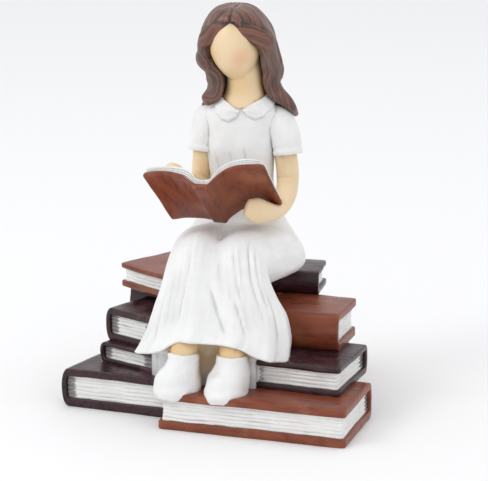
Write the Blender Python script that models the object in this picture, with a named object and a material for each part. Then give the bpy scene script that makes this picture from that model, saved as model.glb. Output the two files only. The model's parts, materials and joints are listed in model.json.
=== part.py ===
"""Reading girl statue: a small painted resin casting of a faceless girl who reads on a pile of books.

The casting is one solid, so every form below is a helper, and one Boolean union joins them all into
the single object reading_girl_statue. Sizes are in millimetres and MM turns them into metres.
The front of the statue faces -Y, the floor is Z = 0, and the origin is under the middle of the pile.
"""

import math

import bmesh
import bpy
from mathutils import Matrix, Vector

MM = 0.001

# Plans are drawn from the girl's seat; the origin goes under the middle of the pile.
PILE_MIDDLE = Vector((0.7, 0.0, 0.0))

# Pile of books: each thickness is set here, and each book stands on the top of the one below.
FRONT_BOOK_THICK = 12.2
LEFT_BOOK_THICK = 13.1
BACK_BOOK_THICK = 12.0
RIGHT_SECOND_THICK = 9.5
RIGHT_THIRD_THICK = 12.3
RIGHT_TOP_THICK = 7.7
LEFT_SECOND_THICK = 6.7
LEFT_THIRD_THICK = 11.0
LEFT_TOP_THICK = 7.9
BACK_SECOND_THICK = 12.0
SINK = 0.4  # how far each book is sunk into what it lies on, so that the casting is one solid

# Each book's length along its front edge and its depth from there to the back.
FRONT_BOOK_LONG = 62.1
FRONT_BOOK_DEEP = 32.6
LEFT_BOOK_LONG = 46.0
LEFT_BOOK_DEEP = 60.0
BACK_BOOK_LONG = 41.0
BACK_BOOK_DEEP = 47.0
RIGHT_SECOND_LONG = 42.3
RIGHT_SECOND_DEEP = 29.6
RIGHT_THIRD_LONG = 47.4
RIGHT_THIRD_DEEP = 22.5
RIGHT_TOP_LONG = 26.0
RIGHT_TOP_DEEP = 17.0
LEFT_SECOND_LONG = 28.5
LEFT_SECOND_DEEP = 46.0
LEFT_THIRD_LONG = 42.0
LEFT_THIRD_DEEP = 38.0
LEFT_FOURTH_LONG = 34.0
LEFT_FOURTH_DEEP = 27.0
LEFT_TOP_LONG = 36.0
LEFT_TOP_DEEP = 34.0
BACK_SECOND_LONG = 40.0
BACK_SECOND_DEEP = 28.0
BACK_THIRD_LONG = 29.0
BACK_THIRD_DEEP = 23.0

# Board, spine and page sizes that the books share.
BOARD_SHARE = 0.235  # the lower board's thickness as a share of its book's
TOP_BOARD_SHARE = 0.2
SPINE_WALL = 1.7
SPINE_BULGE = 2.6
PAGE_RECESS = 0.9  # pages stand back from the board's edge
CORNER_CUT = 1.6
LEFT_BOOK_SKEW = 11.0
LINE_DEPTH = 0.35  # page lines are shallow grooves
LINE_PITCH = 2.7

# Where the girl sits and how she is turned.
GIRL_X = 1.0
GIRL_Y = 8.0
GIRL_TURN = 5.5  # degrees about the vertical, towards +X
SEAT_Z = FRONT_BOOK_THICK + RIGHT_SECOND_THICK + RIGHT_THIRD_THICK + RIGHT_TOP_THICK
FOOT_Z = FRONT_BOOK_THICK
HEAD_HEIGHT = 22.8  # chin to the top of the skull, without hair
STATUE_HEIGHT = 130.0

# The open book in her hands.
OPEN_BOOK_TALL = 25.2
OPEN_BOOK_TILT = 39.0
OPEN_BOARD_THICK = 1.2
OPEN_PAGES_THICK = 2.7

OPEN_SPINE_PROUD = 0.5
OPEN_SPINE_HALF = 2.4

# The dress.
KNEE_ROW = 12 / 16  # where on the dress curve the knees are
FOLD_DEPTH = 1.3
# Each fold is its place in radians from the front, its width and its size.
FOLDS = (
    (-1.15, 0.13, 1.0),
    (-0.75, 0.1, 0.8),
    (-0.18, 0.1, 0.9),
    (0.3, 0.1, 0.8),
    (0.85, 0.12, 1.0),
    (1.3, 0.12, 0.9),
)
HEM_RISE = 6.6
HEM_ARCH = 1.2
HEM_WALL = 1.6
WEB_RECESS = 5.0  # how far the filled space behind the legs stands back
WEB_SIDE_RECESS = 4.5
COLLAR_SHARE = 0.132
COLLAR_PROUD = 0.8
NECK_RISE = 1.7  # the neckline is a V: it rises from the throat to the sides
BOOT_HALF_WIDTH = 6.2
BOOT_OVERHANG = 1.4  # the toes press over the edge of the front book by this much
ANKLE_AHEAD = 0.3

# The head and the hair.
HEAD_X = -1.0
HEAD_Y = -5.4
HEAD_Z = 116.6
HEAD_HALF_WIDTH = 8.3
HEAD_HALF_DEPTH = 8.8
HEAD_NOD = 12.0
HEAD_TILT = 5.0
HAIR_Y = -1.2
CAP_PROUD = 0.25
CAP_END = 0.16

# How finely each kind of form is faceted.
BODY_SIDES = 36
BODY_ROWS = 29
LIMB_SIDES = 10
HAIR_ROWS = 18
HAIR_ARC = 24
SPINE_STEPS = 5

COLOURS = {
    "dress_white": (0.80, 0.80, 0.79),
    "skin": (0.72, 0.52, 0.34),
    "hair_brown": (0.10, 0.045, 0.03),
    "cover_tan": (0.22, 0.065, 0.03),
    "cover_plum": (0.035, 0.016, 0.02),
    "page_white": (0.76, 0.75, 0.72),
}


def clear_scene():
    for obj in list(bpy.data.objects):
        bpy.data.objects.remove(obj, do_unlink=True)


def material(name):
    found = bpy.data.materials.get(name)
    if found:
        return found
    made = bpy.data.materials.new(name)
    made.use_nodes = True
    shader = made.node_tree.nodes["Principled BSDF"]
    shader.inputs["Base Color"].default_value = (*COLOURS[name], 1.0)
    shader.inputs["Roughness"].default_value = 0.45
    shader.inputs["Metallic"].default_value = 0.0
    made.diffuse_color = (*COLOURS[name], 1.0)
    return made


def add_form(name, points, faces, colour):
    """A closed helper mesh, from points in millimetres. It is kept in the forms collection."""
    mesh = bpy.data.meshes.new(name)
    mesh.from_pydata([(Vector(p) - PILE_MIDDLE) * MM for p in points], [], faces)
    made = bmesh.new()
    made.from_mesh(mesh)
    bmesh.ops.recalc_face_normals(made, faces=made.faces)
    made.to_mesh(mesh)
    made.free()
    mesh.materials.append(material(colour))
    obj = bpy.data.objects.new(name, mesh)
    obj.hide_render = True
    obj.display_type = "WIRE"
    bpy.data.collections["forms"].objects.link(obj)
    return obj


def loft(name, rings, colour, tip_start=None, tip_end=None):
    """Joins rings of equal length with quads. An end is a flat cap, or a fan to its tip point."""
    count = len(rings[0])
    points = [p for ring in rings for p in ring]
    faces = []
    for row in range(len(rings) - 1):
        for i in range(count):
            j = (i + 1) % count
            low, high = row * count, (row + 1) * count
            faces.append((low + i, low + j, high + j, high + i))
    for tip, first in ((tip_start, 0), (tip_end, (len(rings) - 1) * count)):
        ring = [first + i for i in range(count)]
        if tip is None:
            faces.append(tuple(ring))
            continue
        points.append(tip)
        faces += [(ring[i], ring[(i + 1) % count], len(points) - 1) for i in range(count)]
    return add_form(name, points, faces, colour)


def curve_value(rows, t):
    """Reads a table of rows as a smooth curve: t runs from 0 at the first row to 1 at the last."""
    place = min(max(t, 0.0), 1.0) * (len(rows) - 1)
    i = min(int(place), len(rows) - 2)
    f = place - i
    a, b, c, d = (rows[min(max(k, 0), len(rows) - 1)] for k in (i - 1, i, i + 1, i + 2))
    return [
        0.5 * (2 * q + (r - p) * f + (2 * p - 5 * q + 4 * r - s) * f * f + (3 * q - p - 3 * r + s) * f**3)
        for p, q, r, s in zip(a, b, c, d)
    ]


def power(value, exponent):
    return math.copysign(abs(value) ** exponent, value)


def bump(distance, width):
    """A smooth rise of height 1 at distance 0."""
    return math.exp(-((distance / width) ** 2))


def girl_frame():
    """Millimetre coordinates of the girl, whose hips are at the origin, to the statue's."""
    return Matrix.Translation((GIRL_X, GIRL_Y, 0.0)) @ Matrix.Rotation(math.radians(GIRL_TURN), 4, "Z")


# The pile.


def book(name, corner, turn, size, base, spine, colour, skew=0.0):
    """One closed book. corner is its front left corner, turn its clockwise turn in degrees, and
    spine the side that its spine is on. size is its length along the front, its depth and its
    thickness. skew is how far, in degrees, the first end is cut off square."""
    length, depth, thick = size
    along = Vector((math.cos(math.radians(turn)), -math.sin(math.radians(turn)), 0.0))
    back = Vector((-along.y, along.x, 0.0))
    starts = {
        "left": (along, length, depth, Vector((0, 0, 0))),
        "right": (-along, length, depth, along * length + back * depth),
        "front": (back, depth, length, along * length),
        "back": (-back, depth, length, back * depth),
    }
    across, width, tall, offset = starts[spine]
    upward = Vector((0, 0, 1))
    lengthwise = upward.cross(across)
    origin = Vector((corner[0], corner[1], base)) + offset + across * SPINE_BULGE

    board, top_board = thick * BOARD_SHARE, thick * TOP_BOARD_SHARE
    edge = width - SPINE_BULGE
    slope = math.tan(math.radians(skew))

    def place(x, y, z):
        cut = slope * x if y < tall / 2 else 0.0
        return origin + across * x + lengthwise * (y + cut) + upward * z

    def arc(bulge, low, high):
        """Points of a rounded spine, from the bottom to the top."""
        middle, half = (low + high) / 2, (high - low) / 2
        angles = [math.pi * (k / SPINE_STEPS - 0.5) for k in range(SPINE_STEPS + 1)]
        return [(-bulge * power(math.cos(a), 0.75), middle + half * math.sin(a)) for a in angles]

    def cover_profile(reach):
        outer = arc(SPINE_BULGE, 0.0, thick)
        inner = arc(SPINE_BULGE - SPINE_WALL, board, thick - top_board)
        ends = ((reach, thick), (reach, thick - top_board))
        return [(reach, 0.0), *outer, *ends, *reversed(inner), (reach, board)]

    rings = []
    cut_in = edge - CORNER_CUT
    for y, reach in ((0, cut_in), (CORNER_CUT, edge), (tall - CORNER_CUT, edge), (tall, cut_in)):
        rings.append([place(x, y, z) for x, z in cover_profile(reach)])
    loft(f"{name}_cover", rings, colour)

    low, high = board - SINK, thick - top_board + SINK
    lines = max(2, round((high - low) / LINE_PITCH))
    levels = []
    for k in range(2 * lines + 1):
        inset = LINE_DEPTH if k % 2 else 0.0
        near, far = PAGE_RECESS + inset, tall - PAGE_RECESS - inset
        start, end = -SPINE_BULGE + SPINE_WALL / 2, edge - PAGE_RECESS - inset
        z = low + (high - low) * k / (2 * lines)
        outline = [(start, near), (end - 1, near), (end, near + 1)]
        outline += [(end, far - 1), (end - 1, far), (start, far)]
        levels.append([place(x, y, z) for x, y in outline])
    loft(f"{name}_pages", levels, "page_white")


def pile():
    right_second = FRONT_BOOK_THICK - SINK
    right_third = FRONT_BOOK_THICK + RIGHT_SECOND_THICK - SINK
    right_top = right_third + RIGHT_THIRD_THICK
    left_second = LEFT_BOOK_THICK - SINK
    left_third = LEFT_BOOK_THICK + LEFT_SECOND_THICK - SINK
    left_top = SEAT_Z - LEFT_TOP_THICK
    front_size = (FRONT_BOOK_LONG, FRONT_BOOK_DEEP, FRONT_BOOK_THICK)
    book("front_book", (-11.4, -41.9), 0.0, front_size, 0.0, "back", "cover_tan")
    left_size = (LEFT_BOOK_LONG, LEFT_BOOK_DEEP, LEFT_BOOK_THICK)
    book("left_book", (-49.2, -29.4), 13.3, left_size, 0.0, "left", "cover_plum", LEFT_BOOK_SKEW)
    back_size = (BACK_BOOK_LONG, BACK_BOOK_DEEP, BACK_BOOK_THICK)
    book("back_book", (-7.0, -8.5), -6.0, back_size, 0.0, "right", "cover_tan")
    second_size = (RIGHT_SECOND_LONG, RIGHT_SECOND_DEEP, RIGHT_SECOND_THICK + SINK)
    book("right_second_book", (2.8, -26.8), 3.0, second_size, right_second, "back", "cover_plum")
    third_size = (RIGHT_THIRD_LONG, RIGHT_THIRD_DEEP, RIGHT_THIRD_THICK + SINK)
    book("right_third_book", (-7.6, -12.2), 0.7, third_size, right_third, "front", "cover_tan")
    top_size = (RIGHT_TOP_LONG, RIGHT_TOP_DEEP, RIGHT_TOP_THICK + SINK)
    book("right_top_book", (1.3, 5.6), -6.5, top_size, right_top, "front", "cover_plum")
    second_size = (LEFT_SECOND_LONG, LEFT_SECOND_DEEP, LEFT_SECOND_THICK + SINK)
    book("left_second_book", (-40.3, -18.4), 20.9, second_size, left_second, "left", "cover_plum")
    third_size = (LEFT_THIRD_LONG, LEFT_THIRD_DEEP, LEFT_THIRD_THICK + SINK)
    book("left_third_book", (-39.0, -15.6), 20.9, third_size, left_third, "left", "cover_plum")
    fourth_size = (LEFT_FOURTH_LONG, LEFT_FOURTH_DEEP, left_top - left_third + SINK)
    book("left_fourth_book", (-38.0, 4.0), 20.0, fourth_size, left_third, "front", "cover_plum")
    top_size = (LEFT_TOP_LONG, LEFT_TOP_DEEP, LEFT_TOP_THICK)
    book("left_top_book", (-39.8, 0.2), 28.7, top_size, left_top, "back", "cover_tan")
    back_second = BACK_BOOK_THICK - SINK
    second_size = (BACK_SECOND_LONG, BACK_SECOND_DEEP, BACK_SECOND_THICK + SINK)
    book("back_second_book", (-16.0, 9.0), -3.0, second_size, back_second, "back", "cover_plum")
    back_third = back_second + BACK_SECOND_THICK
    third_size = (BACK_THIRD_LONG, BACK_THIRD_DEEP, right_top + 2 * SINK - back_third)
    book("back_third_book", (-14.0, 8.0), 4.0, third_size, back_third, "back", "cover_tan")


# The dress, one surface from the neck to the hem.


def dress_rows():
    """Rows of: x, y and height of a ring's middle, its lean in degrees, half width, front, back.
    Heights are from the seat. Those of the part that hangs down are shares of the drop to the feet."""
    seat = SEAT_Z
    drop = (SEAT_Z - FOOT_Z) / 29.5
    return [
        (1.0, -2.6, seat + 57.9, -14, 7.2, 6.2, 6.0),
        (0.8, -1.9, seat + 56.2, -8, 9.8, 7.4, 6.8),
        (0.2, -0.9, seat + 52.6, 2, 12.6, 8.0, 7.0),
        (-0.2, -0.6, seat + 46.0, 4, 11.6, 8.4, 7.2),
        (-0.4, -0.8, seat + 41.0, 2, 11.3, 8.6, 7.2),
        (-0.4, -0.5, seat + 35.5, 2, 10.9, 7.4, 7.0),
        (-0.2, 0.0, seat + 29.0, 5, 10.6, 7.2, 7.2),
        (0.0, 0.0, seat + 21.5, 15, 12.6, 7.8, 9.0),
        (0.4, -0.5, seat + 13.5, 35, 17.0, 9.0, 12.0),
        (0.8, -4.0, seat + 6.6, 62, 21.2, 12.6, 10.0),
        (0.0, -12.0, seat + 5.8, 84, 21.0, 13.0, 7.2),
        (-0.8, -21.0, seat + 6.2, 90, 18.6, 13.0, 7.6),
        (-1.4, -28.8, seat + 7.0, 70, 16.4, 13.0, 9.5),
        (-0.8, -32.2, seat + 1.0 * drop, 36, 18.4, 10.8, 10.0),
        (-0.2, -32.6, seat - 6.0 * drop, 12, 21.6, 10.6, 11.0),
        (-0.6, -32.8, seat - 13.4 * drop, 2, 23.7, 11.4, 12.0),
        (-2.3, -33.4, seat - 19.6 * drop, 0, 25.0, 12.4, 13.0),
    ]


def dress_relief(t, angle):
    """How far the cloth stands out: the valley between the legs, and the folds below the knees."""
    fall = min(max((t - KNEE_ROW) / (1 - KNEE_ROW), 0.0), 1.0)
    lap = bump(t - KNEE_ROW, 0.13)
    out = -3.6 * lap * bump(angle, 0.24)
    for place, width, size in FOLDS:
        out += FOLD_DEPTH * size * fall * bump(angle - place, width)
    return out


def dress_point(t, angle, out=0.0):
    """A point of the dress. angle 0 is the front of the body and the top of the lap."""
    x, y, z, lean, half, front, back = curve_value(DRESS, t)
    lean = math.radians(lean)
    forward = Vector((0.0, -math.cos(lean), math.sin(lean)))
    side, ahead = power(math.sin(angle), 0.88), power(math.cos(angle), 0.88)
    out += dress_relief(t, angle)
    reach = (front if ahead > 0 else back) + out
    rise = NECK_RISE * (1 - bump(angle, 0.6)) * max(0.0, 1 - 10 * t)
    return Vector((x + side * (half + out), y, z + rise)) + forward * (ahead * reach)


def hem_lift(angle):
    """The hem rises over the two shins and dips at the sides."""
    return HEM_RISE * bump(angle, 0.66) + HEM_ARCH * (bump(angle - 0.36, 0.2) + bump(angle + 0.3, 0.2))


def web_recess(angle):
    """How far the filled space behind the legs stands back from the hem."""
    return WEB_RECESS * bump(angle, 0.5) + WEB_SIDE_RECESS * bump(abs(angle) - 1.05, 0.5)


def dress():
    frame = girl_frame()
    angles = [2 * math.pi * k / BODY_SIDES for k in range(BODY_SIDES)]
    angles = [a if a <= math.pi else a - 2 * math.pi for a in angles]
    rings = []
    for row in range(BODY_ROWS):
        t = row / (BODY_ROWS - 1)
        late = max(0.0, (t - 0.8) / 0.2) ** 2
        rings.append([frame @ (dress_point(t, a) + Vector((0, 0, hem_lift(a) * late))) for a in angles])
    # The hem turns in to the filled space behind the legs, which goes down into the books.
    for inward, up in ((HEM_WALL, 0.3), (HEM_WALL + 0.9, 1.2)):
        ring = [dress_point(1.0, a, -inward) + Vector((0, 0, hem_lift(a) + up)) for a in angles]
        rings.append([frame @ p for p in ring])
    for level in (FOOT_Z + 11.0, FOOT_Z + 4.0, FOOT_Z - 2.0):
        ring = [dress_point(1.0, a, -HEM_WALL - 1.6 - web_recess(a)) for a in angles]
        rings.append([frame @ Vector((p.x, p.y, level)) for p in ring])
    loft("dress", rings, "dress_white")


def collar():
    """Two rounded lobes that lie on the dress and leave a V at the throat."""
    frame = girl_frame()
    columns, rows = 12, 2
    for side in (-1, 1):
        upper, lower = [], []
        for row in range(rows + 1):
            for column in range(columns + 1):
                across = column / columns
                angle = side * (0.06 + 2.3 * across)
                round_end = min(1.0, across / 0.2) ** 0.6
                length = COLLAR_SHARE * (0.12 + 0.88 * round_end - 0.2 * across)
                t = 0.004 + length * row / rows
                upper.append(frame @ dress_point(t, angle, COLLAR_PROUD))
                lower.append(frame @ dress_point(t, angle, -0.8))
        plate(f"collar_{'right' if side < 0 else 'left'}", upper, lower, rows + 1, columns + 1, "dress_white")


def plate(name, upper, lower, rows, columns, colour):
    """A closed slab between two grids of points."""
    def at(row, column):
        return row * columns + column

    shift = len(upper)
    faces = []
    for row in range(rows - 1):
        for column in range(columns - 1):
            quad = (at(row, column), at(row, column + 1), at(row + 1, column + 1), at(row + 1, column))
            faces += [quad, tuple(shift + i for i in reversed(quad))]
    border = [at(0, c) for c in range(columns)] + [at(r, columns - 1) for r in range(1, rows)]
    border += [at(rows - 1, c) for c in range(columns - 2, -1, -1)]
    border += [at(r, 0) for r in range(rows - 2, 0, -1)]
    for i, first in enumerate(border):
        second = border[(i + 1) % len(border)]
        faces.append((first, second, shift + second, shift + first))
    return add_form(name, [*upper, *lower], faces, colour)


# Limbs.


def tube(name, rows, colour, steps, sides=LIMB_SIDES, frame=None, hollow=None):
    """A round limb through rows of: x, y, z, half width, half thickness. It ends in points, or in
    an open cuff where hollow gives the cuff's wall and depth."""
    frame = frame or girl_frame()
    centres = [Vector(curve_value(rows, k / steps)[:3]) for k in range(steps + 1)]
    rings, normal = [], None
    for k in range(steps + 1):
        ahead = (centres[min(k + 1, steps)] - centres[max(k - 1, 0)]).normalized()
        if normal is None:
            normal = Vector((0, 1, 0)).cross(ahead)
        wide = (normal - ahead * normal.dot(ahead)).normalized()
        normal = wide
        thin = ahead.cross(wide)
        half, flat = curve_value(rows, k / steps)[3:5]
        ring = []
        for i in range(sides):
            a = 2 * math.pi * i / sides
            ring.append(centres[k] + wide * (half * math.cos(a)) + thin * (flat * math.sin(a)))
        rings.append(ring)
    last = (centres[-1] - centres[-2]).normalized()
    tip = centres[-1] + last * 0.5 * rows[-1][3]
    if hollow:
        wall, deep = hollow
        share = 1 - wall / rows[-1][3]
        rings.append([centres[-1] + (p - centres[-1]) * share for p in rings[-1]])
        rings.append([p - last * deep for p in rings[-1]])
        tip = centres[-1] - last * deep
    rings = [[frame @ p for p in ring] for ring in rings]
    first = (centres[0] - centres[1]).normalized()
    return loft(name, rings, colour, frame @ (centres[0] + first * 0.5 * rows[0][3]), frame @ tip)


def arms():
    seat = SEAT_Z
    # Each side: its sign, its name, and how far out the shoulder, the sleeve's hem and the elbow are.
    for side, word, shoulder, cuff in ((-1, "right", 10.6, 13.1), (1, "left", 11.4, 15.7)):
        sleeve = [
            (side * 7.0, 0.0, seat + 50.6, 4.6, 5.0),
            (side * shoulder, -0.2, seat + 50.4, 5.2, 5.4),
            (side * (shoulder * 0.45 + cuff * 0.55), -0.6, seat + 46.8, 5.0, 5.7),
            (side * (shoulder * 0.15 + cuff * 0.85), -1.2, seat + 43.2, 4.8, 5.6),
            (side * cuff, -1.8, seat + 39.8, 4.7, 5.5),
        ]
        tube(f"sleeve_{word}", sleeve, "dress_white", 8, 14, hollow=(0.9, 1.6))
    left = [
        (12.6, -0.8, seat + 49, 3.5, 3.6),
        (14.4, -1.2, seat + 41, 3.7, 3.9),
        (15.2, -0.8, seat + 35, 3.7, 3.9),
        (15.4, -0.8, seat + 31.0, 3.7, 3.8),
        (15.9, -5.0, seat + 27.6, 3.4, 3.5),
        (16.0, -10.4, seat + 25.4, 3.0, 3.1),
        (15.0, -15.2, seat + 24.4, 2.8, 3.0),
        (12.2, -19.2, seat + 24.4, 2.8, 4.0),
        (9.2, -21.8, seat + 25.2, 2.3, 4.2),
        (6.8, -23.2, seat + 26.2, 1.6, 3.0),
    ]
    tube("arm_left", left, "skin", 17)
    right = [
        (-11.8, -0.8, seat + 49, 3.5, 3.6),
        (-12.7, -1.2, seat + 41, 3.6, 3.9),
        (-13.2, -0.6, seat + 34, 3.6, 3.9),
        (-13.8, -0.8, seat + 29.5, 3.7, 3.9),
        (-14.6, -6.5, seat + 29.0, 3.4, 3.4),
        (-15.8, -13.0, seat + 31.4, 2.9, 2.9),
        (-17.0, -19.0, seat + 34.8, 2.8, 2.9),
        (-17.4, -23.2, seat + 37.3, 3.0, 2.4),
        (-17.4, -25.8, seat + 38.2, 2.4, 1.9),
    ]
    tube("arm_right", right, "skin", 17)


def legs():
    seat = SEAT_Z
    # Each foot: its side, name and middle, the turn of its toe, its half length and its reach ahead.
    feet = ((-1, "right", -9.2, -41.8, -66, 7.9, 2.8), (1, "left", 6.6, -41.1, -36, 8.0, 2.9))
    for side, word, x, y, toe_turn, long, ahead in feet:
        heading = Vector((math.sin(math.radians(toe_turn)), -math.cos(math.radians(toe_turn)), 0))
        ankle = Vector((x, y, 0)) + heading * (ANKLE_AHEAD * ahead)
        shin = [
            (side * 7.0, -33.0, seat - 4, 5.6, 5.6),
            (ankle.x, -37.4, FOOT_Z + 19, 4.8, 4.8),
            (ankle.x, ankle.y + 1, FOOT_Z + 13.0, 4.6, 4.6),
            (ankle.x, ankle.y, FOOT_Z + 8.0, 4.4, 4.4),
        ]
        tube(f"shin_{word}", shin, "skin", 5, 12)
        across = Vector((-heading.y, heading.x, 0))
        rings = []
        # Rows of: height above the book, and the shares of the reach, the length and the width.
        boot = [
            (14.0, ANKLE_AHEAD, 0.63, 0.82),
            (10.5, ANKLE_AHEAD, 0.66, 0.84),
            (7.5, 0.55, 0.8, 0.89),
            (4.5, 0.9, 0.96, 0.97),
            (1.2, 1.0, 1.0, 1.0),
            (-BOOT_OVERHANG, 0.9, 0.93, 0.92),
        ]
        for height, shift, length, width in boot:
            middle = Vector((x, y, FOOT_Z + height)) + heading * (shift * ahead)
            angles = [2 * math.pi * i / 16 for i in range(16)]
            long_way, wide_way = heading * (long * length), across * (BOOT_HALF_WIDTH * width)
            rings.append([middle + long_way * math.cos(a) + wide_way * math.sin(a) for a in angles])
        frame = girl_frame()
        top = frame @ Vector((ankle.x, ankle.y, FOOT_Z + 14.6))
        loft(f"boot_{word}", [[frame @ p for p in ring] for ring in rings], "dress_white", top)


# Head and hair.


def head_frame():
    """The head leans forward to the book and a little to her right."""
    lean = Matrix.Rotation(math.radians(HEAD_NOD), 4, "X") @ Matrix.Rotation(math.radians(-HEAD_TILT), 4, "Y")
    return girl_frame() @ Matrix.Translation((HEAD_X, HEAD_Y, HEAD_Z)) @ lean


def head():
    frame = head_frame()
    rings = []
    rows, sides = 12, 18
    for row in range(1, rows):
        a = math.pi * row / rows
        height, radius = math.cos(a), math.sin(a)
        narrow = 1.0 - 0.26 * max(0.0, -height) ** 1.3
        ring = []
        for i in range(sides):
            b = 2 * math.pi * i / sides
            across = HEAD_HALF_WIDTH * narrow * radius * math.sin(b)
            deep = -HEAD_HALF_DEPTH * radius * math.cos(b) * (1 - 0.1 * max(0.0, -height))
            ring.append(frame @ Vector((across, deep, HEAD_HEIGHT / 2 * height)))
        rings.append(ring)
    top, bottom = (frame @ Vector((0, 0, s * HEAD_HEIGHT / 2)) for s in (1, -1))
    loft("head", rings, "skin", top, bottom)
    neck = [
        (0.9, -1.8, 93.6, 7.6, 5.2),
        (1.2, -2.4, 99.0, 7.4, 5.8),
        (1.0, -3.2, 102.4, 5.6, 5.2),
        (0.7, -3.4, 108, 4.9, 5.6),
        (-0.2, -3.0, 113, 4.9, 5.0),
    ]
    tube("neck", neck, "skin", 8, 14)


def hair_rows():
    """Rows from the crown down of: height, x of the middle, half width at her right and left, front,
    back, then the angle of the front edge at her right and at her left in degrees."""
    return [
        (129.8, -1.8, 4.0, 4.0, 5.2, 5.2, 3, 3),
        (128.8, -1.7, 6.9, 7.0, 9.0, 8.4, 3, 3),
        (126.4, -1.5, 9.3, 9.2, 11.6, 10.8, 6, 8),
        (122.6, -1.2, 11.3, 11.2, 11.4, 12.4, 30, 34),
        (118.8, -1.0, 12.4, 12.4, 10.4, 13.2, 58, 56),
        (115.2, -0.8, 13.1, 13.0, 9.6, 13.4, 72, 70),
        (112.0, -0.6, 14.3, 13.6, 9.2, 13.2, 74, 72),
        (109.2, -0.5, 11.9, 14.0, 9.2, 12.8, 72, 72),
        (106.4, -0.3, 11.2, 13.6, 9.2, 12.8, 70, 72),
        (103.0, -0.2, 10.4, 12.6, 9.2, 12.6, 66, 72),
        (100.0, 0.0, 11.0, 13.6, 9.0, 12.8, 68, 76),
        (96.6, 0.0, 12.8, 16.2, 8.6, 12.8, 84, 92),
        (92.6, 0.0, 11.0, 15.6, 6.0, 12.2, 104, 104),
        (88.6, 0.0, 9.2, 12.0, 4.0, 10.8, 118, 124),
    ]


def hair_point(t, angle, proud=0.0):
    """A point of the outside of the hair, t running from the crown down."""
    z, middle, right, left, front, back = curve_value(hair_rows(), t)[:6]
    side, ahead = math.sin(angle), math.cos(angle)
    wave = proud + 0.45 * math.sin(7 * angle + 0.25 * z) * min(1.0, 4 * t)
    half = (right if side < 0 else left) + wave
    reach = (front if ahead > 0 else back) + wave
    return Vector((middle + half * side, HAIR_Y - reach * ahead, z))


def hair():
    """The mass of hair: a cap over the skull, and a shell down the back that is open over the face."""
    frame = girl_frame()
    crown = frame @ Vector((hair_rows()[0][1], HAIR_Y, STATUE_HEIGHT))
    turns = [2 * math.pi * k / HAIR_ARC for k in range(HAIR_ARC)]
    levels = (0.0, 0.04, 0.08, 0.12, CAP_END)
    cap = [[frame @ hair_point(t, a, CAP_PROUD * (1 - t / CAP_END)) for a in turns] for t in levels]
    loft("hair_cap", cap, "hair_brown", crown)
    rings = []
    for k in range(HAIR_ROWS):
        t = 0.12 + 0.88 * k / (HAIR_ROWS - 1)
        z, middle, right, left, front, back, edge_right, edge_left = curve_value(hair_rows(), t)
        start, end = -math.radians(edge_right), math.radians(edge_left) - 2 * math.pi
        ring = [hair_point(t, start + (end - start) * i / (HAIR_ARC - 1)) for i in range(HAIR_ARC)]
        # The open front is a shallow hollow that the head and the neck fill.
        deep = 0.32 * (left + right) / 2
        for a in (end + 0.15, (start + end) / 2 + math.pi, start - 0.15):
            ring.append(Vector((middle + deep * math.sin(a), HAIR_Y - deep * math.cos(a), z)))
        rings.append([frame @ p for p in ring])
    loft("hair", rings, "hair_brown")


def front_locks():
    """The two wavy locks that fall from the parting beside the face."""
    right = [
        (-2.4, -10.2, 126.7, 1.2, 1.1),
        (-4.8, -10.2, 124.8, 1.8, 1.3),
        (-9.4, -9.4, 120.5, 2.6, 1.7),
        (-10.9, -8.2, 118.0, 2.3, 1.9),
        (-11.2, -7.0, 115.2, 2.3, 2.0),
        (-11.2, -6.6, 112.4, 3.1, 2.1),
        (-8.9, -6.8, 109.6, 2.6, 2.0),
        (-7.6, -7.2, 106.8, 3.3, 2.0),
        (-7.2, -7.2, 104.2, 3.1, 1.9),
        (-8.0, -7.0, 101.6, 3.0, 1.7),
        (-10.6, -6.4, 99.2, 2.2, 1.3),
    ]
    left = [
        (-0.5, -10.2, 126.7, 1.2, 1.1),
        (4.4, -10.6, 123.0, 2.1, 1.4),
        (9.0, -9.4, 119.8, 2.7, 1.8),
        (9.9, -8.0, 117.4, 2.9, 2.0),
        (10.2, -6.6, 114.8, 2.9, 2.2),
        (10.6, -6.0, 112.0, 3.1, 2.2),
        (11.0, -5.4, 109.2, 3.1, 2.1),
        (10.9, -5.0, 105.4, 2.8, 2.0),
        (12.1, -4.0, 102.2, 2.7, 1.9),
        (14.6, -2.0, 99.4, 2.1, 1.5),
        (16.4, 0.4, 96.4, 1.5, 1.2),
        (17.0, 4.0, 93.6, 0.9, 0.9),
    ]
    tube("lock_right", right, "hair_brown", 17, 7)
    tube("lock_left", left, "hair_brown", 19, 7)


# The open book.


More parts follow.
